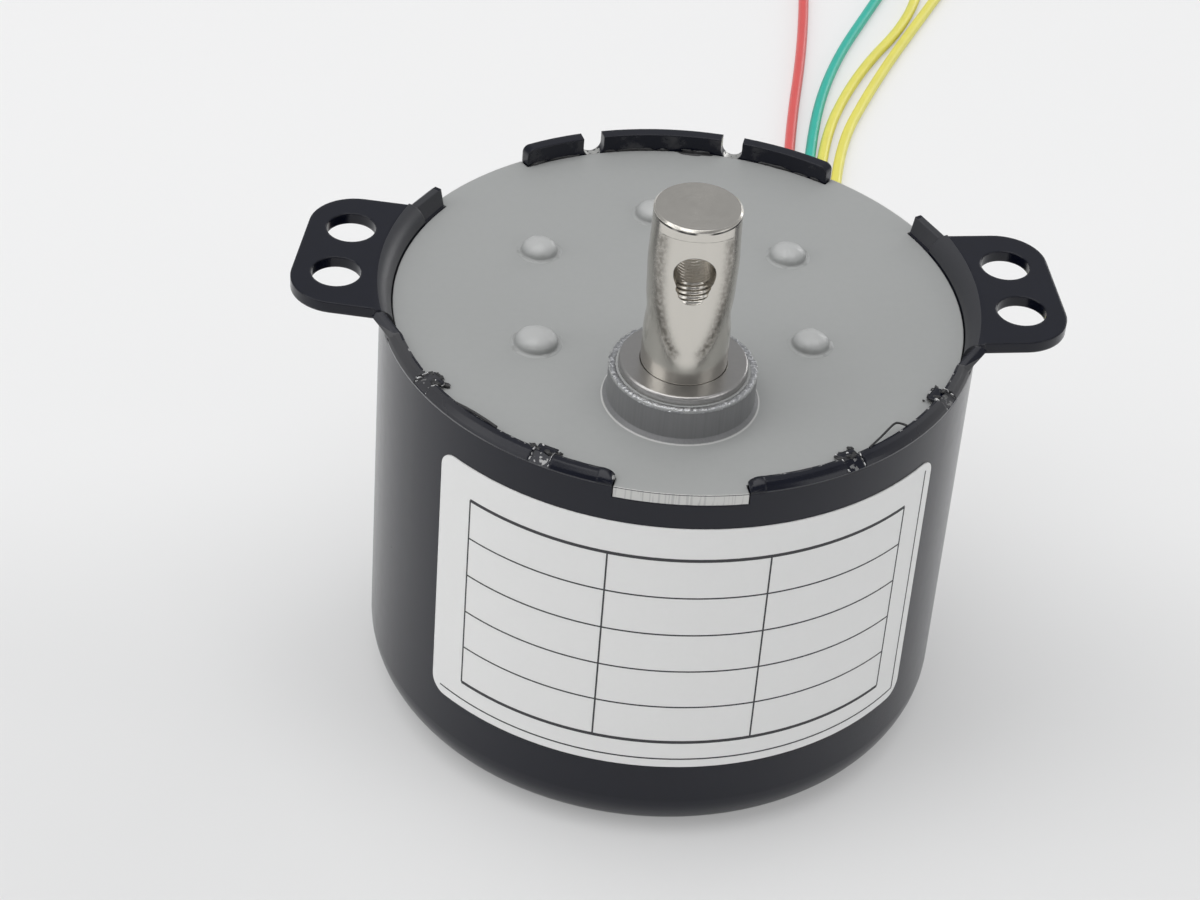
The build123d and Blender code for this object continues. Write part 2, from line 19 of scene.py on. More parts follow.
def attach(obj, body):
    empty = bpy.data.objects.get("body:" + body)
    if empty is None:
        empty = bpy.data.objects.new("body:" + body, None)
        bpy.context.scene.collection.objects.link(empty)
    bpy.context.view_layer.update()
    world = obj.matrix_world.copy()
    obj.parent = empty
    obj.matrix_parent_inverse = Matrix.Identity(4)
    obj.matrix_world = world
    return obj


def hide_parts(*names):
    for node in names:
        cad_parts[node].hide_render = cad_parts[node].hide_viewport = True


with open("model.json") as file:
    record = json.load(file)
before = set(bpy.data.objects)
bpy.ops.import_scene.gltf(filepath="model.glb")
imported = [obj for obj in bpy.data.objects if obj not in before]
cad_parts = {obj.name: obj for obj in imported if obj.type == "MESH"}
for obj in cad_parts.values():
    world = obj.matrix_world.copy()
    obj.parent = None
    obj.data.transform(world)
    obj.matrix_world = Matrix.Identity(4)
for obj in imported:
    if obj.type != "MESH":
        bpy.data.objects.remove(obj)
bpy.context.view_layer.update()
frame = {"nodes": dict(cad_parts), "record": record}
scene = bpy.context.scene
MM = 0.001
UP = Vector((0, 0, 1))

# The camera, fitted to the photograph's outlines.
CAMERA_PLACE = Vector((-14.33, -220.99, 195.06)) * MM
CAMERA_HEADING = radians(2.26)
CAMERA_PITCH = radians(38.08)
CAMERA_ROLL = radians(4.6)
FOCAL_PIXELS = 3244.0
FRAME_PIXELS = 1200.0
SENSOR_WIDTH = 36.0
CLIP_START = 0.01

# The room, in metres and watts. The lamps are given by place, size and power.
ROOM_COLOUR = (0.97, 0.98, 1.0, 1)
DARK_SIDE = Vector((-0.05, -0.75, 0.66)).normalized()
DARK_REACH = (0.35, 0.95)
ROOM_STRENGTHS = (0.44, 0.26)
LAMPS = {
    "top_box": ((-0.2, -0.1, 1.2), 1.3, 10.0),
    "left_box": ((-0.9, -0.35, 0.55), 0.7, 2.5),
    "back_box": ((0.78, 0.98, 0.36), 0.5, 2.0),
    "right_box": ((0.9, -0.5, 0.4), 0.6, 1.4),
}
LAMP_AIM = Vector((0, 0, 0.02))

# The floor. Its pale glow is seen by the camera and less in reflections, and it fades to the front as
# painted shade.
FLOOR_SIZE = 3.0
GLOW_COLOUR = (0.95, 0.95, 0.95, 1)
GLOW_SHARE = 0.4
GLOW_REFLECTED = 0.25
GLOW_FADE = (-12.0, 26.0)
GLOW_STRENGTHS = (0.72, 1.0)

# The can's rim, in millimetres and in degrees clockwise from +Y.
CAN_RADIUS = 25.0
RIM_INNER = 24.0
PLATE_TOP = 37.4
LIP_TOP = 38.1
STAKE_BEARINGS = (-122.5, -153.2, 146.0, 117.5)
STAKE_WIDTH = 1.8
SLOT_BEARINGS = (-18.0, 11.7)
NOTCH_BEARING = 167.5

# The output shaft, in millimetres. Rings of its skin are given by the first height, the step and the count.
SHAFT_Y = -12.4008
SHAFT_RADIUS = 3.5
SHAFT_STEPS = ((24.35, 2.0), (26.55, 2.0), (26.55, 2.5), (31.9, 2.5), (31.9, 3.0), (35.3, 3.0), (35.3, 3.5))
SHAFT_TOP = 55.9
SHAFT_CHAMFER = 0.17
SHAFT_SIDES = 144
FLAT_RINGS = (41.0, 0.2, 68)
CAP_RINGS = (54.55, 0.05, 9)
CAP_BOTTOM = 54.9
CAP_STEP = 0.3
FLAT_DEPTH = 0.75
FLAT_DEEPEST = 52.0
FLAT_GRIND = 48.0
FLAT_SOFTNESS = 1.3
FLAT_RUNOUT = 0.28
FLAT_LIMIT = 0.1
SIDE_BULGE = 0.1
BULGE_REACH = 2.2
SIDE_WAIST = 0.16
WAIST_HEIGHT = 46.2
WAIST_REACH = 1.1

# The tapped cross hole and the scoop below it, in millimetres. Spans lie along the hole, from the axis.
HOLE_HEIGHT = 51.2
HOLE_MINOR = 1.62
HOLE_MAJOR = 1.74
HOLE_SPAN = (-5.0, 5.0)
HOLE_SIDES = 48
THREAD_PITCH = 0.4
THREAD_RINGS = 8
SCOOP_MINOR = 1.32
SCOOP_MAJOR = 1.42
SCOOP_SPAN = (-6.0, -1.2)
SCOOP_TILT = radians(33)
SCOOP_DEPTH = 1.6

# Angles above which an edge of a piece is sharp.
PLAIN_SHARP = radians(40)
SHAFT_SHARP = radians(30)
LIP_SHARP = radians(50)
ROUGH_SHARP = radians(60)
TORN_SHARP = radians(70)

# The label and its print, in millimetres and degrees. The table is given by its left, right, low and high.
LABEL_RADIUS = 25.1
LABEL_BEARING = 176.3
LABEL_HALF_WIDTH = 22.9
LABEL_BOTTOM = 8.4
LABEL_TOP = 34.0
PRINT_LINE = 0.14
PRINT_INSET = 0.9
PRINT_STEP = 0.8
PRINT_SUNK = 0.03
PRINT_PROUD = 0.012
TABLE = (-19.5, 19.5, 11.2, 30.8)
TABLE_ROWS = 5
TABLE_COLUMNS = (0, 0.32, 0.66, 1)
TABLE_FRAME = 2.2

# The leads. Their routes repeat the source's, moved by a millimetre at most to lie as in the photograph.
OUTLET_BEARING = 18.0
OUTLET_INNER = 22.7
OUTLET_MIDDLE = 6.8
LEAD_DIAMETER = 1.2
LEAD_PITCH = 1.9
LEAD_STRAIGHT = 12.2
LEAD_TOUCHDOWN = 55.0
LEAD_FLOORS = {
    "red": ((15.8, 83.7), (18.6, 107.7), (19.3, 131.0), (17.4, 150.0)),
    "green": ((18.0, 82.7), (21.0, 100.0), (27.7, 117.2), (33.5, 132.0), (36.0, 146.0)),
    "near_yellow": ((19.0, 82.3), (23.9, 99.0), (31.9, 113.7), (34.3, 130.0), (41.5, 142.0)),
    "far_yellow": ((20.6, 81.3), (26.4, 98.5), (34.0, 116.3), (39.5, 129.0), (48.5, 138.0)),
}
STRAND_DIAMETER = 0.23
STRAND_TURNS = 2.5
STRAND_LENGTH = 5.9
STRAND_STEPS = 24
STRANDS = 6

# Shader settings of finishes, specks and bare patches, and the inputs and output of a Mix node by kind.
GRAIN_DETAIL = 5.0
EDGE_SAMPLES = 6
RELIEF_DEPTH = 0.1
SPECK_ROUGHNESS = 0.6
BARE_GRAIN = 2600.0
BARE_DETAIL = 4.0
BARE_LEAST = 0.35
BARE_GAIN = 0.3
BARE_ROUGHNESS = 0.42
MIX_SOCKETS = {"RGBA": (6, 7, 2), "FLOAT": (2, 3, 0)}


def add(tree, kind, settings=None, **values):
    """New shader node with its settings and the values of its inputs."""
    node = tree.nodes.new("ShaderNode" + kind)
    for name, value in (settings or {}).items():
        setattr(node, name, value)
    for name, value in values.items():
        node.inputs[name.replace("_", " ")].default_value = value
    return node


def arithmetic(tree, operation, first, second=0):
    """Math node on one or two sockets or numbers, as its output."""
    node = add(tree, "Math", {"operation": operation})
    for place, value in enumerate((first, second)):
        if isinstance(value, (int, float)):
            node.inputs[place].default_value = value
        else:
            tree.links.new(value, node.inputs[place])
    return node.outputs[0]


def product(tree, first, *others):
    """Product of sockets or numbers, as a socket."""
    for other in others:
        first = arithmetic(tree, "MULTIPLY", first, other)
    return first


def metres(lengths):
    """Lengths in metres, from millimetres."""
    return [length * MM for length in lengths]


def place_of(tree):
    """Place on the object, as a socket."""
    return add(tree, "TexCoord").outputs["Object"]


def axes_of(tree):
    """Coordinates of the place on the object, as sockets named X, Y and Z."""
    parts = add(tree, "SeparateXYZ")
    tree.links.new(place_of(tree), parts.inputs["Vector"])
    return parts.outputs


def reach_of(tree, centre=(0, 0, 0)):
    """Distance from an upright axis, as a socket."""
    moved = add(tree, "Mapping", Location=[-value * MM for value in centre])
    level = add(tree, "VectorMath", {"operation": "MULTIPLY"})
    level.inputs[1].default_value = (1, 1, 0)
    length = add(tree, "VectorMath", {"operation": "LENGTH"})
    tree.links.new(place_of(tree), moved.inputs["Vector"])
    tree.links.new(moved.outputs["Vector"], level.inputs[0])
    tree.links.new(level.outputs["Vector"], length.inputs[0])
    return length.outputs["Value"]


def noise_of(tree, scale, detail, stretch=(1, 1, 1)):
    """Noise over the object, as a socket."""
    stretched = add(tree, "Mapping", Scale=stretch)
    grains = add(tree, "TexNoise", Scale=scale, Detail=detail)
    tree.links.new(place_of(tree), stretched.inputs["Vector"])
    tree.links.new(stretched.outputs["Vector"], grains.inputs["Vector"])
    return grains.outputs["Fac"]


def ramp(tree, value, low, high, start=0.0, end=1.0, smooth=False):
    """Value carried from one range to another and held at its ends, as a socket."""
    settings = {"interpolation_type": "SMOOTHSTEP" if smooth else "LINEAR"}
    node = add(tree, "MapRange", settings, From_Min=low, From_Max=high, To_Min=start, To_Max=end)
    tree.links.new(value, node.inputs["Value"])
    return node.outputs["Result"]


def between(tree, value, low, high):
    """Mask of where a value lies between two lengths, from millimetres."""
    above = arithmetic(tree, "GREATER_THAN", value, low * MM)
    return product(tree, above, arithmetic(tree, "LESS_THAN", value, high * MM))


def finish(
    name, colour, roughness, metallic=0.0, grain=1200.0, spread=0.05, gloss=0.05, bump=0.05, edge=0.12,
    stretch=(1, 1, 1),
):
    """Material with fine changes of colour and gloss, a fine bump and softened edges."""
    material = bpy.data.materials.new(name)
    material.use_nodes = True
    tree = material.node_tree
    shader = tree.nodes["Principled BSDF"]
    shader.inputs["Metallic"].default_value = metallic
    grains = noise_of(tree, grain, GRAIN_DETAIL, stretch)
    tint = ramp(tree, grains, 0.0, 1.0, 1 - spread, 1 + spread)
    paint = add(tree, "VectorMath", {"operation": "SCALE"})
    paint.inputs[0].default_value = colour
    shine = ramp(tree, grains, 0.0, 1.0, roughness - gloss, roughness + gloss)
    softened = add(tree, "Bevel", {"samples": EDGE_SAMPLES}, Radius=edge * MM)
    relief = add(tree, "Bump", Strength=bump, Distance=RELIEF_DEPTH * MM)
    tree.links.new(tint, paint.inputs["Scale"])
    tree.links.new(paint.outputs["Vector"], shader.inputs["Base Color"])
    tree.links.new(shine, shader.inputs["Roughness"])
    tree.links.new(softened.outputs["Normal"], relief.inputs["Normal"])
    tree.links.new(grains, relief.inputs["Height"])
    tree.links.new(relief.outputs["Normal"], shader.inputs["Normal"])
    return material


def overlay(material, mask, colour, roughness, metallic):
    """Lay another finish over a material where a mask is one."""
    tree = material.node_tree
    shader = tree.nodes["Principled BSDF"]
    for name, value in (("Base Color", (*colour, 1)), ("Roughness", roughness), ("Metallic", metallic)):
        socket = shader.inputs[name]
        kind = "RGBA" if name == "Base Color" else "FLOAT"
        if kind == "FLOAT" and not socket.links and socket.default_value == value:
            continue
        mix = add(tree, "Mix", {"data_type": kind})
        under, over, result = MIX_SOCKETS[kind]
        mix.inputs[over].default_value = value
        if socket.links:
            tree.links.new(socket.links[0].from_socket, mix.inputs[under])
        else:
            mix.inputs[under].default_value = socket.default_value
        tree.links.new(mask, mix.inputs[0])
        tree.links.new(mix.outputs[result], socket)


def bare_patch(material, centre, size, cover, colour):
    """Flecks of bare metal round a point, their reach in millimetres and their share of the paint there."""
    tree = material.node_tree
    gap = add(tree, "VectorMath", {"operation": "DISTANCE"})
    gap.inputs[1].default_value = centre
    tree.links.new(place_of(tree), gap.inputs[0])
    ragged = noise_of(tree, BARE_GRAIN, BARE_DETAIL)
    close = arithmetic(tree, "LESS_THAN", gap.outputs["Value"], size * MM)
    torn = arithmetic(tree, "LESS_THAN", ragged, BARE_LEAST + BARE_GAIN * cover)
    overlay(material, product(tree, close, torn), colour, BARE_ROUGHNESS, 1.0)


def specks(material, scale, size, share, colour):
    """Scatter small specks of dirt over a material."""
    tree = material.node_tree
    cells = add(tree, "TexVoronoi", Scale=scale)
    parts = add(tree, "SeparateColor")
    tree.links.new(place_of(tree), cells.inputs["Vector"])
    tree.links.new(cells.outputs["Color"], parts.inputs["Color"])
    small = arithmetic(tree, "LESS_THAN", cells.outputs["Distance"], size)
    chosen = arithmetic(tree, "LESS_THAN", parts.outputs["Red"], share)
    overlay(material, product(tree, small, chosen), colour, SPECK_ROUGHNESS, 0.0)


# The base finishes.
black_paint = finish(
    "black_paint", (0.003, 0.004, 0.0105), 0.2, grain=900.0, spread=0.15, gloss=0.04, bump=0.04, edge=0.24
)
grey_paint = finish(
    "grey_paint", (0.35, 0.357, 0.352), 0.42, grain=1600.0, spread=0.03, bump=0.05, edge=0.15
)
nickel = finish(
    "nickel", (0.65, 0.625, 0.575), 0.21, 1.0, grain=1400.0, gloss=0.06, bump=0.08, edge=0.1,
    stretch=(1, 1, 0.08),
)
bush_steel = finish("bush_steel", (0.42, 0.41, 0.4), 0.3, 1.0, grain=2500.0, bump=0.12)
zinc_steel = finish("zinc_steel", (0.58, 0.59, 0.6), 0.34, 1.0, grain=500.0, spread=0.1)
gear_steel = finish("gear_steel", (0.5, 0.5, 0.51), 0.3, 1.0, grain=1800.0, bump=0.1)
bronze = finish("bronze", (0.5, 0.3, 0.13), 0.4, 1.0, grain=3000.0, spread=0.12, bump=0.15)
brass = finish("brass", (0.72, 0.52, 0.2), 0.28, 1.0, grain=1500.0, bump=0.08)
copper = finish(
    "copper", (0.45, 0.15, 0.055), 0.3, 0.8, grain=600.0, spread=0.2, bump=0.6, stretch=(0.1, 0.1, 8)
)
ferrite = finish("ferrite", (0.045, 0.045, 0.05), 0.62, grain=4000.0, spread=0.2, bump=0.3)
hub_nylon = finish("hub_nylon", (0.72, 0.71, 0.66), 0.5, grain=800.0)
black_nylon = finish("black_nylon", (0.025, 0.025, 0.027), 0.5, grain=2500.0, spread=0.15, bump=0.15)
paper = finish("paper", (0.83, 0.83, 0.82), 0.46, grain=2600.0, spread=0.012, bump=0.06, edge=0.05)
red_vinyl = finish("red_vinyl", (0.72, 0.105, 0.1), 0.36, grain=500.0, spread=0.08)
green_vinyl = finish("green_vinyl", (0.032, 0.47, 0.375), 0.36, grain=500.0, spread=0.08)
yellow_vinyl = finish("yellow_vinyl", (0.81, 0.75, 0.14), 0.36, grain=500.0, spread=0.08)
tin = finish("tin", (0.62, 0.62, 0.6), 0.3, 1.0, grain=1500.0, spread=0.1)
raw_steel = finish(
    "raw_steel", (0.6, 0.6, 0.6), 0.42, 1.0, grain=3500.0, spread=0.25, gloss=0.12, bump=0.5, edge=0.05
)
torn_paint = finish(
    "torn_paint", (0.02, 0.02, 0.021), 0.42, grain=4000.0, spread=0.5, gloss=0.12, bump=0.5, edge=0.03
)
crimp_metal = finish(
    "crimp_metal", (0.42, 0.425, 0.435), 0.4, 1.0, grain=3400.0, spread=0.6, gloss=0.15, bump=0.7, edge=0.03
)
ink = finish("ink", (0.03, 0.03, 0.034), 0.5, grain=3000.0, spread=0.2, edge=0.01)

# The black paint's gloss. Specks are given by scale, size, share and colour, and noise by scale and detail.
CAN_SPECULAR = 0.6
CAN_TINT = (0.58, 0.58, 0.58, 1)
CAN_SPECKS = (260.0, 0.03, 0.12, (0.12, 0.12, 0.12))
SCUFF_NOISE = (520.0, 5.0)
SCUFF_RAMP = (0.52, 0.68, 0.0, 0.8)
WEAR_NOISE = (1500.0, 3.0)
WEAR_FROM = 0.61

# Zones of the black paint, in millimetres: heights, reaches from the can's axis, and spans along Y or X.
BORE_REACH = 24.03
WALL_REACH = 24.93
SCUFF_HEIGHTS = (37.6, 38.9)
FOLD_HEIGHTS = (37.36, 37.47)
WEAR_HEIGHTS = (37.95, 38.15)
WEAR_REACHES = (23.7, 23.93)
BEND_HEIGHTS = (37.5, 38.97)
BEND_SPAN = (-5.0, 13.6)
BEND_REACH = 25.25
BEND_SLOPE = 0.035
LIP_HEIGHTS = (37.47, 38.15)
LIP_SPAN = (-24.0, -4.8)
LIP_SIDES = (14.0, 24.0)

# What is laid over the black paint: colour, roughness and metallic.
SCUFFED = ((0.05, 0.05, 0.054), 0.5, 0.0)
FOLD_HIGHLIGHT = ((0.05, 0.051, 0.056), 0.3, 0.0)
WORN = ((0.42, 0.42, 0.42), 0.4, 0.6)
BEND_SHEEN = ((0.034, 0.035, 0.04), 0.4, 0.0)
LIP_SHEEN = ((0.055, 0.055, 0.058), 0.35, 0.0)
FOLD_SIDE_SHEEN = ((0.25, 0.25, 0.255), 0.4, 0.0)

# Black paint: scuffed inside the rim and worn on the lip's inner edge, with a painted highlight along the
# fold below the lip, a painted sheen on the ears' bends and a paler painted sheen on the front lip and its
# fold, the more so at the sides.
can_tree = black_paint.node_tree
can_shader = can_tree.nodes["Principled BSDF"]
can_shader.inputs["Specular IOR Level"].default_value = CAN_SPECULAR
can_shader.inputs["Specular Tint"].default_value = CAN_TINT
specks(black_paint, *CAN_SPECKS)
can_math = partial(arithmetic, can_tree)
can_zone = partial(between, can_tree)
can_place = axes_of(can_tree)
can_reach = reach_of(can_tree)
in_bore = can_math("LESS_THAN", can_reach, BORE_REACH * MM)
scuffs = ramp(can_tree, noise_of(can_tree, *SCUFF_NOISE), *SCUFF_RAMP)
overlay(black_paint, product(can_tree, can_zone(can_place["Z"], *SCUFF_HEIGHTS), in_bore, scuffs), *SCUFFED)
on_wall = can_math("GREATER_THAN", can_reach, WALL_REACH * MM)
lip_fold = product(can_tree, can_zone(can_place["Z"], *FOLD_HEIGHTS), on_wall)
# Painted highlight: a paler, glossier line along the fold below the lip.
overlay(black_paint, lip_fold, *FOLD_HIGHLIGHT)
wear = can_math("GREATER_THAN", noise_of(can_tree, *WEAR_NOISE), WEAR_FROM)
lip_inside = product(can_tree, can_zone(can_reach, *WEAR_REACHES), can_zone(can_place["Z"], *WEAR_HEIGHTS))
overlay(black_paint, product(can_tree, lip_inside, wear), *WORN)
# Painted sheen: the ears' bends get a paler, duller paint that stands for the light they catch.
bend_edge = can_math("ADD", product(can_tree, can_place["Y"], BEND_SLOPE), BEND_REACH * MM)
bend_width = product(
    can_tree,
    can_math("LESS_THAN", can_reach, bend_edge),
    can_math("GREATER_THAN", can_reach, BORE_REACH * MM),
)
ear_bends = product(can_tree, bend_width, can_zone(can_place["Z"], *BEND_HEIGHTS))
overlay(black_paint, product(can_tree, ear_bends, can_zone(can_place["Y"], *BEND_SPAN)), *BEND_SHEEN)
# Painted sheen: the front lip's face gets a paler, duller paint, fading in towards the sides.
lip_sides = ramp(can_tree, can_math("ABSOLUTE", can_place["X"]), *metres(LIP_SIDES))
front_lip = product(can_tree, can_zone(can_place["Y"], *LIP_SPAN), lip_sides)
off_bore = can_math("GREATER_THAN", can_reach, RIM_INNER * MM)
lip_face = product(can_tree, can_zone(can_place["Z"], *LIP_HEIGHTS), off_bore)
overlay(black_paint, product(can_tree, front_lip, lip_face), *LIP_SHEEN)
# Painted sheen: a pale grey along the fold below the front lip, the more so at the sides.
overlay(black_paint, product(can_tree, front_lip, lip_fold), *FOLD_SIDE_SHEEN)

# The plate's specks and streaks, given as above. The streaks are drawn out upwards.
PLATE_SPECKS = (170.0, 0.03, 0.22, (0.05, 0.05, 0.05))
STREAK_NOISE = (5200.0, 3.0, (1, 1, 0.03))
STREAK_FROM = 0.56
DRAWN_SHARE = 0.75
FOOT_SHARES = (0.75, 0.0)

# Zones of the plate's paint, in millimetres: heights, and reaches from the shaft's axis.
CROWN_HEIGHTS = (37.88, 38.35)
FOOT_HEIGHTS = (37.5, 38.0)
DOME_HEIGHTS = (37.45, 38.0)
DOME_REACH = 7.0
COLLAR_HEIGHTS = (37.42, 40.3)
COLLAR_REACHES = (5.0, 6.33)
FILLET_HEIGHTS = (37.3, 37.7)
FILLET_REACHES = (6.3, 6.44)
TAB_HEIGHTS = (37.31, 37.38)

# What is laid over the plate's paint: colour, roughness and metallic.
CROWN_HIGHLIGHT = ((0.46, 0.465, 0.46), 0.34, 0.0)
FOOT_SHADE = ((0.28, 0.285, 0.28), 0.42, 0.0)
SHADED_COLLAR_WALL = ((0.215, 0.217, 0.22), 0.4, 0.0)
FILLET_HIGHLIGHT = ((0.5, 0.5, 0.49), 0.4, 0.0)
CUT_EDGE = ((0.62, 0.62, 0.6), 0.45, 0.6)
DRAWN = ((0.13, 0.131, 0.135), 0.42, 0.0)
STREAKED = ((0.53, 0.53, 0.52), 0.55, 0.6)
TAB_TOP_LINE = ((0.07, 0.07, 0.075), 0.5, 0.0)

# The plate's paint: a painted highlight on the domes' crowns and painted shade on their feet, painted shade
# on the collar's wall and a painted highlight on its fillet, and bare streaky metal on the cut ends of the
# tabs.
specks(grey_paint, *PLATE_SPECKS)
plate_tree = grey_paint.node_tree
plate_math = partial(arithmetic, plate_tree)
plate_zone = partial(between, plate_tree)
plate_height = axes_of(plate_tree)["Z"]
shaft_gap = reach_of(plate_tree, (0, SHAFT_Y, 0))
on_domes = plate_math("GREATER_THAN", shaft_gap, DOME_REACH * MM)
# Painted highlight on the domes' crowns.
crown = ramp(plate_tree, plate_height, *metres(CROWN_HEIGHTS), smooth=True)
overlay(grey_paint, product(plate_tree, crown, on_domes), *CROWN_HIGHLIGHT)
# Painted shade on the domes' feet.
foot = ramp(plate_tree, plate_height, *metres(FOOT_HEIGHTS), *FOOT_SHARES, smooth=True)
overlay(grey_paint, product(plate_tree, foot, plate_zone(plate_height, *DOME_HEIGHTS), on_domes), *FOOT_SHADE)
collar_wall = product(
    plate_tree,
    plate_zone(shaft_gap, *COLLAR_REACHES),
    plate_zone(plate_height, *COLLAR_HEIGHTS),
)
# Painted shade: the collar's upright wall is darker than the plate.
overlay(grey_paint, collar_wall, *SHADED_COLLAR_WALL)
# Painted highlight: a pale ring on the fillet at the collar's foot.
collar_fillet = product(
    plate_tree,
    plate_zone(shaft_gap, *FILLET_REACHES),
    plate_zone(plate_height, *FILLET_HEIGHTS),
)
overlay(grey_paint, collar_fillet, *FILLET_HIGHLIGHT)
tab_edge = plate_math("GREATER_THAN", reach_of(plate_tree), WALL_REACH * MM)
overlay(grey_paint, tab_edge, *CUT_EDGE)
streaks = noise_of(plate_tree, *STREAK_NOISE)
overlay(grey_paint, product(plate_tree, streaks, collar_wall, DRAWN_SHARE), *DRAWN)
dark_streaks = plate_math("GREATER_THAN", streaks, STREAK_FROM)
overlay(grey_paint, product(plate_tree, dark_streaks, tab_edge), *STREAKED)
# A dark line along the top of the tabs' cut ends.
overlay(grey_paint, product(plate_tree, plate_zone(plate_height, *TAB_HEIGHTS), tab_edge), *TAB_TOP_LINE)

# The shaft's turned rings, in radians a metre and millimetres, and its noise, given as above.
RING_DENSITY = 15700.0
RING_STRENGTH = 0.5
RING_DEPTH = 0.02
MOTTLE_NOISE = (3200.0, 4.0)
MOTTLE_RAMP = (0.35, 0.6, 0.6)
SHADE_LINE_NOISE = (700.0, 2.0)
SHADE_LINE_RAMP = (0.36, 0.56)

# Zones of the shaft's nickel, in millimetres: heights, and distances from the axis.
END_SKIN = 0.02
BAND_PLACE = 1.27
BAND_NEAREST = 1.15
BAND_WIDTH = 0.5
BAND_PALING = (44.5, 51.5)
BAND_STRENGTHS = (0.95, 0.72)
BAND_FOOT = (42.6, 44.6)
BAND_END = (54.2, 54.9)
TAPPED_DEPTHS = (-1.0, 2.4)
TAPPED_HEIGHTS = (48.0, 53.2)
TAPPED_HALF_WIDTH = 1.8
SHADE_LINE_HEIGHTS = (55.52, 55.7)

# What is laid over the nickel: colour, roughness and metallic.
REFLECTED_BANDS = ((0.13, 0.12, 0.105), 0.36, 1.0)
HOLE_TONE = ((0.6, 0.57, 0.52), 0.2, 1.0)
SHADE_LINE = ((0.06, 0.06, 0.058), 0.4, 1.0)

# Turned rings on the end of the shaft.
shaft_tree = nickel.node_tree
shaft_math = partial(arithmetic, shaft_tree)
shaft_zone = partial(between, shaft_tree)
shaft_place = axes_of(shaft_tree)
rings = shaft_math("SINE", product(shaft_tree, reach_of(shaft_tree, (0, SHAFT_Y, 0)), RING_DENSITY))
on_end = shaft_math("GREATER_THAN", shaft_place["Z"], (SHAFT_TOP - END_SKIN) * MM)
turned = add(shaft_tree, "Bump", Strength=RING_STRENGTH, Distance=RING_DEPTH * MM)
shaft_shader = shaft_tree.nodes["Principled BSDF"]
shaft_tree.links.new(shaft_shader.inputs["Normal"].links[0].from_socket, turned.inputs["Normal"])
shaft_tree.links.new(product(shaft_tree, rings, on_end), turned.inputs["Height"])
shaft_tree.links.new(turned.outputs["Normal"], shaft_shader.inputs["Normal"])

# Painted dark reflections in bands along the edges of the ground flats, which follow the flats' width at
# each height.
across = shaft_math("ABSOLUTE", shaft_place["X"])
off_deepest = shaft_math("ABSOLUTE", shaft_math("SUBTRACT", shaft_place["Z"], FLAT_DEEPEST * MM))
sunk = shaft_math("DIVIDE", shaft_math("POWER", off_deepest, 2), 2 * FLAT_GRIND * MM)
core = shaft_math("ADD", shaft_math("MINIMUM", sunk, FLAT_DEPTH * MM), (SHAFT_RADIUS - FLAT_DEPTH) * MM)
ground_square = shaft_math("SUBTRACT", (SHAFT_RADIUS * MM) ** 2, shaft_math("POWER", core, 2))
ground = shaft_math("SQRT", shaft_math("MAXIMUM", ground_square, 0))
band_middle = shaft_math("MAXIMUM", product(shaft_tree, ground, BAND_PLACE), BAND_NEAREST * MM)
aside = shaft_math("DIVIDE", shaft_math("SUBTRACT", across, band_middle), BAND_WIDTH * MM)
aside_square = shaft_math("POWER", shaft_math("ABSOLUTE", aside), 2)
reflection_bands = product(
    shaft_tree,
    shaft_math("EXPONENT", product(shaft_tree, aside_square, -1)),
    ramp(shaft_tree, shaft_place["Z"], *metres(BAND_PALING), *BAND_STRENGTHS, smooth=True),
    ramp(shaft_tree, shaft_place["Z"], *metres(BAND_FOOT), smooth=True),
    ramp(shaft_tree, shaft_place["Z"], *metres(BAND_END), 1.0, 0.0, smooth=True),
    ramp(shaft_tree, noise_of(shaft_tree, *MOTTLE_NOISE), *MOTTLE_RAMP),
)
overlay(nickel, reflection_bands, *REFLECTED_BANDS)

# A darker, glossier tone inside the cross hole, and a painted shade line under the edge of the shaft's end.
inside = shaft_math("ABSOLUTE", shaft_math("SUBTRACT", shaft_place["Y"], SHAFT_Y * MM))
hole_zone = product(
    shaft_tree,
    shaft_zone(inside, *TAPPED_DEPTHS),
    shaft_zone(shaft_place["Z"], *TAPPED_HEIGHTS),
    shaft_math("LESS_THAN", across, TAPPED_HALF_WIDTH * MM),
)
overlay(nickel, hole_zone, *HOLE_TONE)
# Painted shade: a dark, mottled line just under the edge of the shaft's end.
shade_line_mottle = ramp(shaft_tree, noise_of(shaft_tree, *SHADE_LINE_NOISE), *SHADE_LINE_RAMP)
overlay(nickel, product(shaft_tree, shaft_zone(shaft_place["Z"], *SHADE_LINE_HEIGHTS), shade_line_mottle), *SHADE_LINE)

# Every CAD node gets the finish of its slot.
finishes = {
    "black_paint": black_paint,
    "grey_paint": grey_paint,
    "label_paper": paper,
    "nickel": nickel,
    "bush_steel": bush_steel,
    "zinc_steel": zinc_steel,
    "gear_steel": gear_steel,
    "bronze": bronze,
    "brass": brass,
    "copper": copper,
    "ferrite": ferrite,
    "hub_plastic": hub_nylon,
    "bobbin_plastic": black_nylon,
    "red_lead": red_vinyl,
    "green_lead": green_vinyl,
    "yellow_lead": yellow_vinyl,
    "tin": tin,
}
for part in frame["record"]["subparts"]:
    node = frame["nodes"][part["node"]]
    node.data.materials.clear()
    node.data.materials.append(finishes[part["material_slot"]])


def polar(reach, bearing, height):
    """Point at a distance and bearing from the can's axis, from millimetres."""
    turn = radians(bearing)
    return Vector((reach * sin(turn), reach * cos(turn), height)) * MM


def shaft_point(reach, turn, height):
    """Point at a distance and turn from the shaft's axis, from millimetres."""
    return Vector((reach * cos(turn), SHAFT_Y + reach * sin(turn), height)) * MM


def degrees_along(length, radius):
    """Angle of a length along a circle, in degrees."""
    return length / radius * 180 / pi


def place_piece(piece, body):
    """Put a piece in the scene, on a body."""
    scene.collection.objects.link(piece)
    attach(piece, body)
    return piece


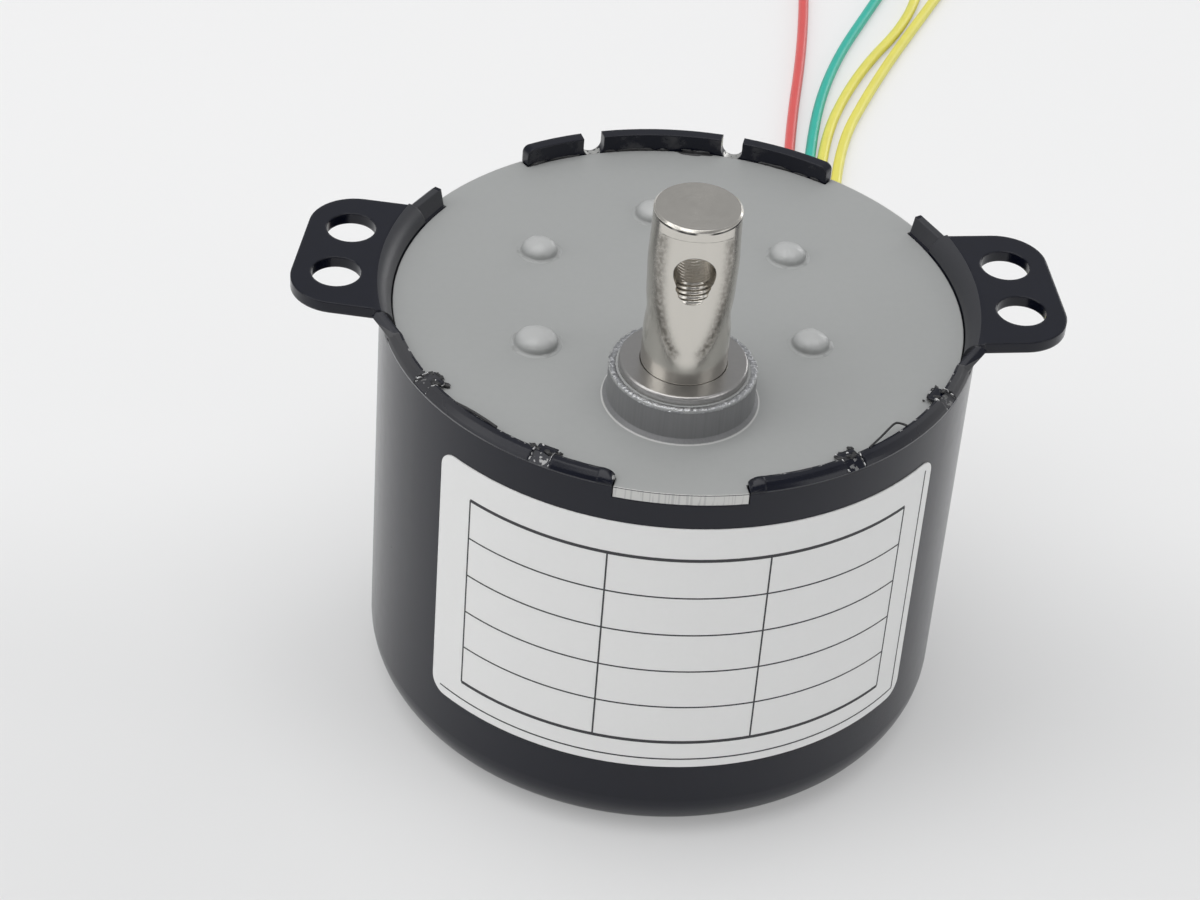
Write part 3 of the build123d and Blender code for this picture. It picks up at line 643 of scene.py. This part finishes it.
def mesh_piece(name, form, material, body, sharp=PLAIN_SHARP):
    """Smooth-shaded piece from a finished form."""
    mesh = bpy.data.meshes.new(name)
    bmesh.ops.recalc_face_normals(form, faces=form.faces)
    form.to_mesh(mesh)
    form.free()
    mesh.shade_smooth()
    mesh.set_sharp_from_angle(angle=sharp)
    mesh.materials.append(material)
    return place_piece(bpy.data.objects.new(name, mesh), body)


def skin(form, rings, ends=True):
    """Join rings of points into a skin, closed by flat ends or back on itself."""
    rows = [[form.verts.new(point) for point in ring] for ring in rings]
    pairs = list(zip(rows, rows[1:])) if ends else list(zip(rows, rows[1:] + rows[:1]))
    for low, high in pairs:
        for place in range(len(low)):
            after = (place + 1) % len(low)
            form.faces.new((low[place], low[after], high[after], high[place]))
    if ends:
        form.faces.new(rows[0])
        form.faces.new(rows[-1])


# The shaft: turned steps, soft flats ground on two sides and a tapped hole cut across it.
def shaft_reach(turn, height):
    """Distance from the shaft's axis to its skin."""
    rise = min(1, max(0, (CAP_BOTTOM - height) / CAP_STEP))
    depth = (FLAT_DEPTH - (height - FLAT_DEEPEST) ** 2 / (2 * FLAT_GRIND)) * rise * rise * (3 - 2 * rise)
    bulge = SIDE_BULGE * exp(-(((height - HOLE_HEIGHT) / BULGE_REACH) ** 2))
    waist = SIDE_WAIST * exp(-(((height - WAIST_HEIGHT) / WAIST_REACH) ** 2))
    round_reach = SHAFT_RADIUS + (bulge - waist) * cos(turn) ** 2
    softness = (FLAT_RUNOUT + (FLAT_SOFTNESS - FLAT_RUNOUT) * max(depth, 0) / FLAT_DEPTH) * rise
    if rise == 0 or abs(sin(turn)) < FLAT_LIMIT:
        return round_reach
    flat = (SHAFT_RADIUS - depth) / abs(sin(turn))
    share = max(softness - abs(flat - round_reach), 0) / softness
    return min(flat, round_reach) - share * share * softness / 4


def shaft_ring(height, reach=None):
    """Ring of the shaft's skin at a height."""
    turns = [2 * pi * step / SHAFT_SIDES for step in range(SHAFT_SIDES)]
    return [shaft_point(reach or shaft_reach(turn, height), turn, height) for turn in turns]


def thread_ring(along, minor, major):
    """Ring of the tap's skin at a place along the hole."""
    ring = []
    for step in range(HOLE_SIDES):
        turn = 2 * pi * step / HOLE_SIDES
        phase = (along / THREAD_PITCH - step / HOLE_SIDES) % 1
        reach = minor + (major - minor) * (1 - abs(2 * phase - 1))
        ring.append(Vector((reach * cos(turn), SHAFT_Y + along, HOLE_HEIGHT + reach * sin(turn))) * MM)
    return ring


shaft_form = bmesh.new()
shaft_rings = [shaft_ring(height, reach) for height, reach in SHAFT_STEPS]
for first, pitch, count in (FLAT_RINGS, CAP_RINGS):
    shaft_rings += [shaft_ring(first + pitch * step) for step in range(count)]
shaft_rings.append(shaft_ring(SHAFT_TOP - SHAFT_CHAMFER, SHAFT_RADIUS))
shaft_rings.append(shaft_ring(SHAFT_TOP, SHAFT_RADIUS - SHAFT_CHAMFER))
skin(shaft_form, shaft_rings)
shaft = mesh_piece("ground_shaft", shaft_form, nickel, "output", SHAFT_SHARP)


def tap_shaft(name, first, last, minor, major, turn):
    """Cut a threaded hole in the shaft, between two places along a turned tap."""
    form = bmesh.new()
    steps = round((last - first) * THREAD_RINGS / THREAD_PITCH)
    places = [first + (last - first) * step / steps for step in range(steps + 1)]
    skin(form, [thread_ring(along, minor, major) for along in places])
    bmesh.ops.transform(form, matrix=turn, verts=form.verts)
    bmesh.ops.recalc_face_normals(form, faces=form.faces)
    mesh = bpy.data.meshes.new(name)
    form.to_mesh(mesh)
    form.free()
    tap = bpy.data.objects.new(name, mesh)
    scene.collection.objects.link(tap)
    cut = shaft.modifiers.new(name, "BOOLEAN")
    cut.object = tap
    cut.solver = "EXACT"
    bpy.context.view_layer.update()
    tapped = bpy.data.meshes.new_from_object(shaft.evaluated_get(bpy.context.evaluated_depsgraph_get()))
    shaft.modifiers.remove(cut)
    shaft.data = tapped
    tapped.set_sharp_from_angle(angle=SHAFT_SHARP)
    bpy.data.objects.remove(tap)


pivot = Vector((0, SHAFT_Y - SHAFT_RADIUS + FLAT_DEPTH + SCOOP_DEPTH, HOLE_HEIGHT)) * MM
scoop = Matrix.Translation(pivot) @ Matrix.Rotation(SCOOP_TILT, 4, "X") @ Matrix.Translation(-pivot)
tap_shaft("cross_hole", *HOLE_SPAN, HOLE_MINOR, HOLE_MAJOR, Matrix.Identity(4))
tap_shaft("thread_scoop", *SCOOP_SPAN, SCOOP_MINOR, SCOOP_MAJOR, scoop)
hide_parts("output_shaft")

# The rough crimped edge of the collar: its section by reach and height, and how rough it is.
CRIMP = (
    (5.9, 40.1), (6.0, 40.3), (5.99, 40.42), (5.9, 40.52), (5.75, 40.56), (5.58, 40.55), (5.42, 40.5),
    (5.32, 40.4), (5.32, 40.1),
)
CRIMP_SIDES = 480
CRIMP_SPREAD = 14
CRIMP_ROW = 1.3
CRIMP_COARSE = 0.06
CRIMP_FINE = 0.075
CRIMP_FINENESS = 2.7
CRIMP_LIFT = 0.8
crimp_form = bmesh.new()
crimp_rings = []
for step in range(CRIMP_SIDES):
    turn = 2 * pi * step / CRIMP_SIDES
    ring = []
    for place, (reach, height) in enumerate(CRIMP):
        spot = Vector((CRIMP_SPREAD * cos(turn), CRIMP_SPREAD * sin(turn), place * CRIMP_ROW))
        rough = CRIMP_COARSE * noise.noise(spot) + CRIMP_FINE * noise.noise(spot * CRIMP_FINENESS)
        if place in (0, len(CRIMP) - 1):
            rough = 0.0
        ring.append(shaft_point(reach + rough, turn, height + CRIMP_LIFT * rough))
    crimp_rings.append(ring)
skin(crimp_form, crimp_rings, ends=False)
mesh_piece("collar_crimp", crimp_form, crimp_metal, "housing", ROUGH_SHARP)

# The pressed domes over the gear pins, rough and flared at the foot: their section by reach and height
# above the plate, over a pin with the radius DOME_PIN.
DOME = (
    (0.2, 1.09), (0.45, 1.06), (0.7, 1.0), (0.95, 0.9), (1.16, 0.78), (1.33, 0.64), (1.45, 0.48),
    (1.52, 0.32), (1.53, 0.18), (1.56, 0.09), (1.68, 0.04), (1.88, 0.015), (2.0, -0.05),
)
DOME_SIDES = 48
DOME_PIN = 0.75
DOME_APART = 5.0
DOME_COARSE = 0.17
DOME_COARSENESS = 1.6
DOME_FINE = 0.07
DOME_FINENESS = 5
DOME_SPREAD = 0.3
DOME_LIFT = 0.7
dome_form = bmesh.new()
for place, rank in enumerate(("first", "second", "third", "fourth", "fifth")):
    pin = frame["nodes"][rank + "_gear_pin"]
    corners = [pin.matrix_world @ Vector(corner) for corner in pin.bound_box]
    middle = sum(corners, Vector()) / len(corners)
    sides = [corner.x for corner in corners]
    growth = (max(sides) - min(sides)) / 2 / MM - DOME_PIN
    rings = []
    for reach, height in DOME:
        ring = []
        for step in range(DOME_SIDES):
            turn = 2 * pi * step / DOME_SIDES
            spot = Vector((reach * cos(turn), reach * sin(turn), DOME_APART * place))
            coarse = DOME_COARSE * noise.noise(spot * DOME_COARSENESS)
            fine = DOME_FINE * noise.noise(spot * DOME_FINENESS)
            rough = max(0, coarse + fine) if height > 0 else 0
            out = reach + growth + DOME_SPREAD * rough
            level = (PLATE_TOP + height + DOME_LIFT * rough) * MM
            ring.append(Vector((middle.x + out * cos(turn) * MM, middle.y + out * sin(turn) * MM, level)))
        rings.append(ring)
    skin(dome_form, rings)
mesh_piece("pin_domes", dome_form, grey_paint, "housing", ROUGH_SHARP)

# The burrs where the rim is staked over the plate, in millimetres and degrees. Pairs are the limits of
# random draws. Crumbs lie on the plate, ticks on the stakes' edges, and scars on the plate behind them.
# Patches of bare metal are given by reach and height, and by size, cover and colour.
LUMP_ROUGHNESS = 0.75
LUMP_GRAIN = 1.9
STAKE_SEED = 4
CRUMBS = 14
CRUMB_SEEDS = 20
CRUMB_SIZES = (0.08, 0.24)
CRUMB_REACHES = (22.6, 23.9)
CRUMB_LIFTS = (0, 0.15)
CRUMB_BEARINGS = (-1.3, 1.4)
CRUMB_STRETCHES = (0.8, 2.4)
CRUMB_TURNS = (-50, 50)
CRUMB_SUNK = 0.4
CRUMB_FLATNESS = 0.6
HEAP_REACH = 22.9
HEAP_SLOPE = 0.55
TICKS = 3
TICK_SEEDS = 9
TICK_BEARINGS = (0.93, 1.06)
TICK_REACHES = (23.9, 24.1)
TICK_DROPS = (0.02, 0.14)
TICK_OUT = 0.36
TICK_DOWN = 0.24
TICK_SIZES = ((0.2, 0.32), (0.05, 0.1), (0.12, 0.2))
TICK_TURNS = (-25, 25)
SCARS = 4
SCAR_SEEDS = 7
SCAR_REACHES = (22.8, 23.6)
SCAR_BEARINGS = (-1.1, 1.1)
SCAR_LIFTS = (0.3, 0.6)
SCAR_SIZES = ((0.05, 0.12), (0.08, 0.22))
SCAR_HEIGHT = 0.06
SCAR_TURNS = (-70, 70)
STAKE_PATCH = (24.4, PLATE_TOP + 0.2)
STAKE_BARE = (0.6, 0.26, (0.24, 0.24, 0.24))
SLOT_PATCH = (24.5, 37.3)
SLOT_FLECKS = (0.75, 0.85, (0.62, 0.62, 0.6))
NOTCH_BURR = (24.25, -167.2, PLATE_TOP + 0.3)
NOTCH_BURR_SIZES = (0.4, 0.22, 0.2)
NOTCH_BURR_SEED = 71

# The crumbs along the foot of the back rim.
FOOT_SEED = 31
FOOT_CRUMBS = 34
FOOT_CRUMB_SEED = 90
FOOT_BEARINGS = (-32.5, 32.5)
FOOT_REACH = 23.98
FOOT_LIFT = 0.06
FOOT_SIZES = ((0.06, 0.16), (0.25, 0.8), (0.08, 0.2))
SLOT_CLEARANCE = 3.2
RIDGE = (23.72, 3.6, PLATE_TOP + 0.03)
RIDGE_SIZES = (0.3, 1.5, 0.07)
RIDGE_SEED = 140


def lump(form, centre, sizes, bearing, seed):
    """Rough lump of torn metal, its sizes given along the radius, along the rim and upwards."""
    made = bmesh.ops.create_icosphere(form, subdivisions=2, radius=1)
    turn = Matrix.Rotation(radians(-bearing), 3, "Z")
    for vertex in made["verts"]:
        rough = 1 + LUMP_ROUGHNESS * noise.noise(vertex.co * LUMP_GRAIN + Vector((seed, 2 * seed, 0)))
        local = Vector((vertex.co.x * sizes[1], vertex.co.y * sizes[0], vertex.co.z * sizes[2])) * rough
        vertex.co = centre + turn @ local * MM


torn_form = bmesh.new()
raw_form = bmesh.new()
half_turn = degrees_along(STAKE_WIDTH / 2, CAN_RADIUS)
for place, bearing in enumerate(STAKE_BEARINGS):
    chance = random.Random(place + STAKE_SEED)
    bare_patch(black_paint, polar(STAKE_PATCH[0], bearing, STAKE_PATCH[1]), *STAKE_BARE)
    for crumb in range(CRUMBS):
        size = chance.uniform(*CRUMB_SIZES)
        reach = chance.uniform(*CRUMB_REACHES)
        heap = max(0, reach - HEAP_REACH) * HEAP_SLOPE
        height = PLATE_TOP + CRUMB_SUNK * size + heap + chance.uniform(*CRUMB_LIFTS)
        spot = polar(reach, bearing + chance.uniform(*CRUMB_BEARINGS) * half_turn, height)
        sizes = (size, size * chance.uniform(*CRUMB_STRETCHES), CRUMB_FLATNESS * size)
        lump(torn_form, spot, sizes, bearing + chance.uniform(*CRUMB_TURNS), place * CRUMB_SEEDS + crumb)
    for side in (-1, 1):
        for tick in range(TICKS):
            edge = bearing + side * half_turn * chance.uniform(*TICK_BEARINGS)
            reach = chance.uniform(*TICK_REACHES) + TICK_OUT * tick
            height = LIP_TOP - chance.uniform(*TICK_DROPS) - TICK_DOWN * tick
            sizes = [chance.uniform(*limits) for limits in TICK_SIZES]
            heading = bearing + chance.uniform(*TICK_TURNS)
            seed = place * TICK_SEEDS + TICKS * side + tick
            lump(raw_form, polar(reach, edge, height), sizes, heading, seed)
    for scar in range(SCARS):
        reach = chance.uniform(*SCAR_REACHES)
        edge = bearing + chance.uniform(*SCAR_BEARINGS) * half_turn
        spot = polar(reach, edge, PLATE_TOP + chance.uniform(*SCAR_LIFTS))
        sizes = [*(chance.uniform(*limits) for limits in SCAR_SIZES), SCAR_HEIGHT]
        lump(raw_form, spot, sizes, bearing + chance.uniform(*SCAR_TURNS), place * SCAR_SEEDS + scar)
lump(raw_form, polar(*NOTCH_BURR), NOTCH_BURR_SIZES, NOTCH_BURR[1], NOTCH_BURR_SEED)
# Pale metal flecks at the bottoms of the slots, partly bare sheet and partly a painted reflection.
for bearing in SLOT_BEARINGS:
    bare_patch(black_paint, polar(SLOT_PATCH[0], bearing, SLOT_PATCH[1]), *SLOT_FLECKS)
foot_chance = random.Random(FOOT_SEED)
for crumb in range(FOOT_CRUMBS):
    bearing = foot_chance.uniform(*FOOT_BEARINGS)
    if min(abs(bearing - slot) for slot in SLOT_BEARINGS) < SLOT_CLEARANCE:
        continue
    sizes = [foot_chance.uniform(*limits) for limits in FOOT_SIZES]
    spot = polar(FOOT_REACH, bearing, PLATE_TOP + FOOT_LIFT)
    lump(torn_form, spot, sizes, bearing, FOOT_CRUMB_SEED + crumb)
lump(torn_form, polar(*RIDGE), RIDGE_SIZES, RIDGE[1], RIDGE_SEED)
mesh_piece("rim_burrs", torn_form, torn_paint, "housing", TORN_SHARP)
mesh_piece("stake_scars", raw_form, raw_steel, "housing", TORN_SHARP)

# The front lip's ends, rounded off at the notch, in millimetres. Pairs are the value at the very end and
# what is added to it by the end of the rounding. The ends stand proud of the solid by a hair.
END_REACH = 1.35
END_ROUNDING = 1.1
END_STEPS = 18
END_BEVEL = (0.1, 0.25)
END_HEIGHT = (0.25, 0.45)
END_LEAN = 0.2
END_LIFT = 0.01
END_INSET = 0.02
END_OVERLAP = 0.02
PROUD = 0.012
end_form = bmesh.new()
for side in (-1, 1):
    rings = []
    for step in range(END_STEPS + 1):
        off = END_REACH * (1 - cos(pi / 2 * step / END_STEPS))
        share = (1 - (1 - min(1, off / END_ROUNDING)) ** 2) ** 0.5
        lean = END_LEAN * share
        bevel = END_BEVEL[0] + END_BEVEL[1] * share
        top = PLATE_TOP + END_HEIGHT[0] + END_HEIGHT[1] * share
        bearing = side * (NOTCH_BEARING + END_OVERLAP - degrees_along(off, CAN_RADIUS))
        section = (
            (RIM_INNER - PROUD, PLATE_TOP + END_LIFT),
            (CAN_RADIUS - END_INSET, PLATE_TOP + END_LIFT),
            (CAN_RADIUS - lean + PROUD, top - bevel),
            (CAN_RADIUS - lean - bevel, top + PROUD),
            (RIM_INNER - lean - PROUD, top + PROUD),
        )
        rings.append([polar(reach, bearing, height) for reach, height in section])
    skin(end_form, rings)
mesh_piece("lip_ends", end_form, black_paint, "housing", LIP_SHARP)

# Settings of round bars: of smooth ones, and of thin ones that are made into meshes.
BAR_ORDER = 3
BAR_SIDES = 4
BAR_STEPS = 12
THIN_SIDES = 2
THIN_STEPS = 3


def round_curve(name, lines, diameter, material):
    """Round bar along one or more smooth lines of points."""
    curve = bpy.data.curves.new(name, "CURVE")
    curve.dimensions = "3D"
    curve.bevel_depth = diameter / 2
    curve.bevel_resolution = BAR_SIDES
    curve.use_fill_caps = True
    for line in lines:
        spline = curve.splines.new("NURBS")
        spline.points.add(len(line) - 1)
        for point, place in zip(spline.points, line):
            point.co = (*place, 1)
        spline.order_u = BAR_ORDER
        spline.use_endpoint_u = True
        spline.resolution_u = BAR_STEPS
    curve.materials.append(material)
    return bpy.data.objects.new(name, curve)


def round_mesh(name, lines, diameter, material, body):
    """Piece of thin round bars, as a mesh."""
    drawn = round_curve(name + "_line", lines, diameter, material)
    drawn.data.bevel_resolution = THIN_SIDES
    for spline in drawn.data.splines:
        spline.resolution_u = THIN_STEPS
    mesh = bpy.data.meshes.new_from_object(drawn)
    mesh.name = name
    mesh.materials.clear()
    mesh.materials.append(material)
    bpy.data.objects.remove(drawn)
    return place_piece(bpy.data.objects.new(name, mesh), body)


# Thin slivers lifted off the rim's inner edge: points by reach, bearing and height.
FLAKE = ((23.85, -131.0, 38.0), (23.66, -134.0, 38.08), (23.58, -138.0, 38.1), (23.66, -141.8, 38.05))
FLAKE_DIAMETER = 0.26
SLIVER = (
    (23.85, 141.2, 38.1), (23.42, 136.8, 38.17), (23.0, 132.4, 38.2), (23.1, 131.0, 38.2),
    (23.85, 130.4, 38.1),
)
SLIVER_DIAMETER = 0.19
flake = [polar(*point) for point in FLAKE]
sliver = [polar(*point) for point in SLIVER]
round_mesh("rim_flake", [flake], FLAKE_DIAMETER * MM, torn_paint, "housing")
round_mesh("rim_sliver", [sliver], SLIVER_DIAMETER * MM, torn_paint, "housing")


# The print on the label: two lines of a border and a blank ruled table.
def bar(form, left, right, bottom, top):
    """Curved printed bar, its place given along and up the label's face."""
    rings = []
    steps = max(1, round(abs(right - left) / PRINT_STEP))
    inner, outer = LABEL_RADIUS - PRINT_SUNK, LABEL_RADIUS + PRINT_PROUD
    corners = ((inner, bottom), (outer, bottom), (outer, top), (inner, top))
    for step in range(steps + 1):
        bearing = LABEL_BEARING - degrees_along(left + (right - left) * step / steps, LABEL_RADIUS)
        rings.append([polar(reach, bearing, height) for reach, height in corners])
    skin(form, rings)


print_form = bmesh.new()
left_edge, right_edge = PRINT_INSET - LABEL_HALF_WIDTH, LABEL_HALF_WIDTH - PRINT_INSET
low_edge, high_edge = LABEL_BOTTOM + PRINT_INSET, LABEL_TOP - PRINT_INSET
bar(print_form, left_edge, right_edge, low_edge - PRINT_LINE / 2, low_edge + PRINT_LINE / 2)
bar(print_form, right_edge - PRINT_LINE / 2, right_edge + PRINT_LINE / 2, low_edge, high_edge)
table_left, table_right, table_low, table_high = TABLE
for row in range(TABLE_ROWS + 1):
    level = table_low + (table_high - table_low) * row / TABLE_ROWS
    weight = TABLE_FRAME * PRINT_LINE if row in (0, TABLE_ROWS) else PRINT_LINE
    bar(print_form, table_left, table_right, level - weight / 2, level + weight / 2)
for share in TABLE_COLUMNS:
    column = table_left + (table_right - table_left) * share
    bar(print_form, column - PRINT_LINE / 2, column + PRINT_LINE / 2, table_low, table_high)
mesh_piece("label_print", print_form, ink, "housing")


# The leads and their twisted tinned ends.
def lead_route(place, floor_points):
    """Control points of one lead, from inside the outlet, down to the floor and along it."""
    along = polar(1, OUTLET_BEARING + 90, 0) * (place - (len(LEAD_FLOORS) - 1) / 2) * LEAD_PITCH
    level = (
        (OUTLET_INNER, OUTLET_MIDDLE),
        (OUTLET_INNER + LEAD_STRAIGHT, OUTLET_MIDDLE),
        (LEAD_TOUCHDOWN, LEAD_DIAMETER / 2),
    )
    route = [polar(reach, OUTLET_BEARING, height) + along for reach, height in level]
    return route + [Vector((x, y, LEAD_DIAMETER / 2)) * MM for x, y in floor_points]


def twisted_end(start, direction):
    """Lines of a core strand and the strands wound round it."""
    side = direction.cross(UP).normalized()
    steps = range(STRAND_STEPS + 1)
    lines = [[start + direction * STRAND_LENGTH * MM * step / STRAND_STEPS for step in steps]]
    for strand in range(STRANDS):
        line = []
        for step in steps:
            turn = 2 * pi * (strand / STRANDS + STRAND_TURNS * step / STRAND_STEPS)
            round_core = (side * cos(turn) + Vector((0, 0, sin(turn)))) * STRAND_DIAMETER
            line.append(start + (direction * STRAND_LENGTH * step / STRAND_STEPS + round_core) * MM)
        lines.append(line)
    return lines


vinyls = {"red": red_vinyl, "green": green_vinyl, "near_yellow": yellow_vinyl, "far_yellow": yellow_vinyl}
for place, (colour, floor_points) in enumerate(LEAD_FLOORS.items()):
    route = lead_route(place, floor_points)
    wire = round_curve(colour + "_wire", [route], LEAD_DIAMETER * MM, vinyls[colour])
    lead = place_piece(wire, "housing")
    strands = twisted_end(route[-1], (route[-1] - route[-2]).normalized())
    tip = round_mesh(colour + "_tip", strands, STRAND_DIAMETER * MM, tin, "housing")
    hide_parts(colour + "_lead")
    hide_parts("tinned_lead_ends")

# The floor.
floor_form = bmesh.new()
bmesh.ops.create_grid(floor_form, x_segments=1, y_segments=1, size=FLOOR_SIZE)
floor_mesh = bpy.data.meshes.new("floor")
floor_form.to_mesh(floor_mesh)
floor_form.free()
floor_mesh.materials.append(finish("floor", (0.84, 0.84, 0.84), 0.7, grain=40.0, spread=0.006, bump=0.01))
sweep = floor_mesh.materials[0].node_tree
rays = add(sweep, "LightPath").outputs
seen = arithmetic(sweep, "MAXIMUM", rays["Is Camera Ray"], rays["Is Transmission Ray"])
seen = arithmetic(sweep, "MAXIMUM", seen, product(sweep, rays["Is Glossy Ray"], GLOW_REFLECTED))
glow = add(sweep, "Emission", Color=GLOW_COLOUR)
# Painted shade: the glow fades towards the front.
fade = ramp(sweep, axes_of(sweep)["Y"], *metres(GLOW_FADE), *GLOW_STRENGTHS, smooth=True)
sweep.links.new(fade, glow.inputs["Strength"])
paler = add(sweep, "MixShader")
sweep.links.new(product(sweep, seen, GLOW_SHARE), paler.inputs[0])
sweep.links.new(sweep.nodes["Principled BSDF"].outputs[0], paler.inputs[1])
sweep.links.new(glow.outputs[0], paler.inputs[2])
sweep.links.new(paler.outputs[0], sweep.nodes["Material Output"].inputs["Surface"])
floor = bpy.data.objects.new("floor", floor_mesh)
scene.collection.objects.link(floor)

# A pale room, darker on the camera's side, and the lamps.
world = bpy.data.worlds.new("studio")
scene.world = world
world.use_nodes = True
sky = world.node_tree
toward = add(sky, "VectorMath", {"operation": "DOT_PRODUCT"})
toward.inputs[1].default_value = DARK_SIDE
sky.links.new(add(sky, "TexCoord").outputs["Generated"], toward.inputs[0])
strength = ramp(sky, toward.outputs["Value"], *DARK_REACH, *ROOM_STRENGTHS, smooth=True)
sky.links.new(strength, sky.nodes["Background"].inputs["Strength"])
sky.nodes["Background"].inputs["Color"].default_value = ROOM_COLOUR


def softbox(name, place, size, power):
    """Square lamp that looks at the motor."""
    lamp = bpy.data.lights.new(name, "AREA")
    lamp.size = size
    lamp.energy = power
    box = bpy.data.objects.new(name, lamp)
    box.location = place
    box.rotation_euler = (LAMP_AIM - Vector(place)).to_track_quat("-Z", "Y").to_euler()
    scene.collection.objects.link(box)


for name, (place, size, power) in LAMPS.items():
    softbox(name, place, size, power)

# The camera.
camera = bpy.data.objects.new("camera", bpy.data.cameras.new("camera"))
level_heading = Vector((sin(CAMERA_HEADING), cos(CAMERA_HEADING), 0))
forward = level_heading * cos(CAMERA_PITCH) - UP * sin(CAMERA_PITCH)
level_right = forward.cross(UP).normalized()
level_up = level_right.cross(forward)
right = level_right * cos(CAMERA_ROLL) + level_up * sin(CAMERA_ROLL)
up = level_up * cos(CAMERA_ROLL) - level_right * sin(CAMERA_ROLL)
camera.matrix_world = Matrix.Translation(CAMERA_PLACE) @ Matrix((right, up, -forward)).transposed().to_4x4()
camera.data.sensor_width = SENSOR_WIDTH
camera.data.lens = SENSOR_WIDTH * FOCAL_PIXELS / FRAME_PIXELS
camera.data.clip_start = CLIP_START
scene.collection.objects.link(camera)
scene.camera = camera
scene.view_settings.view_transform = "Standard"
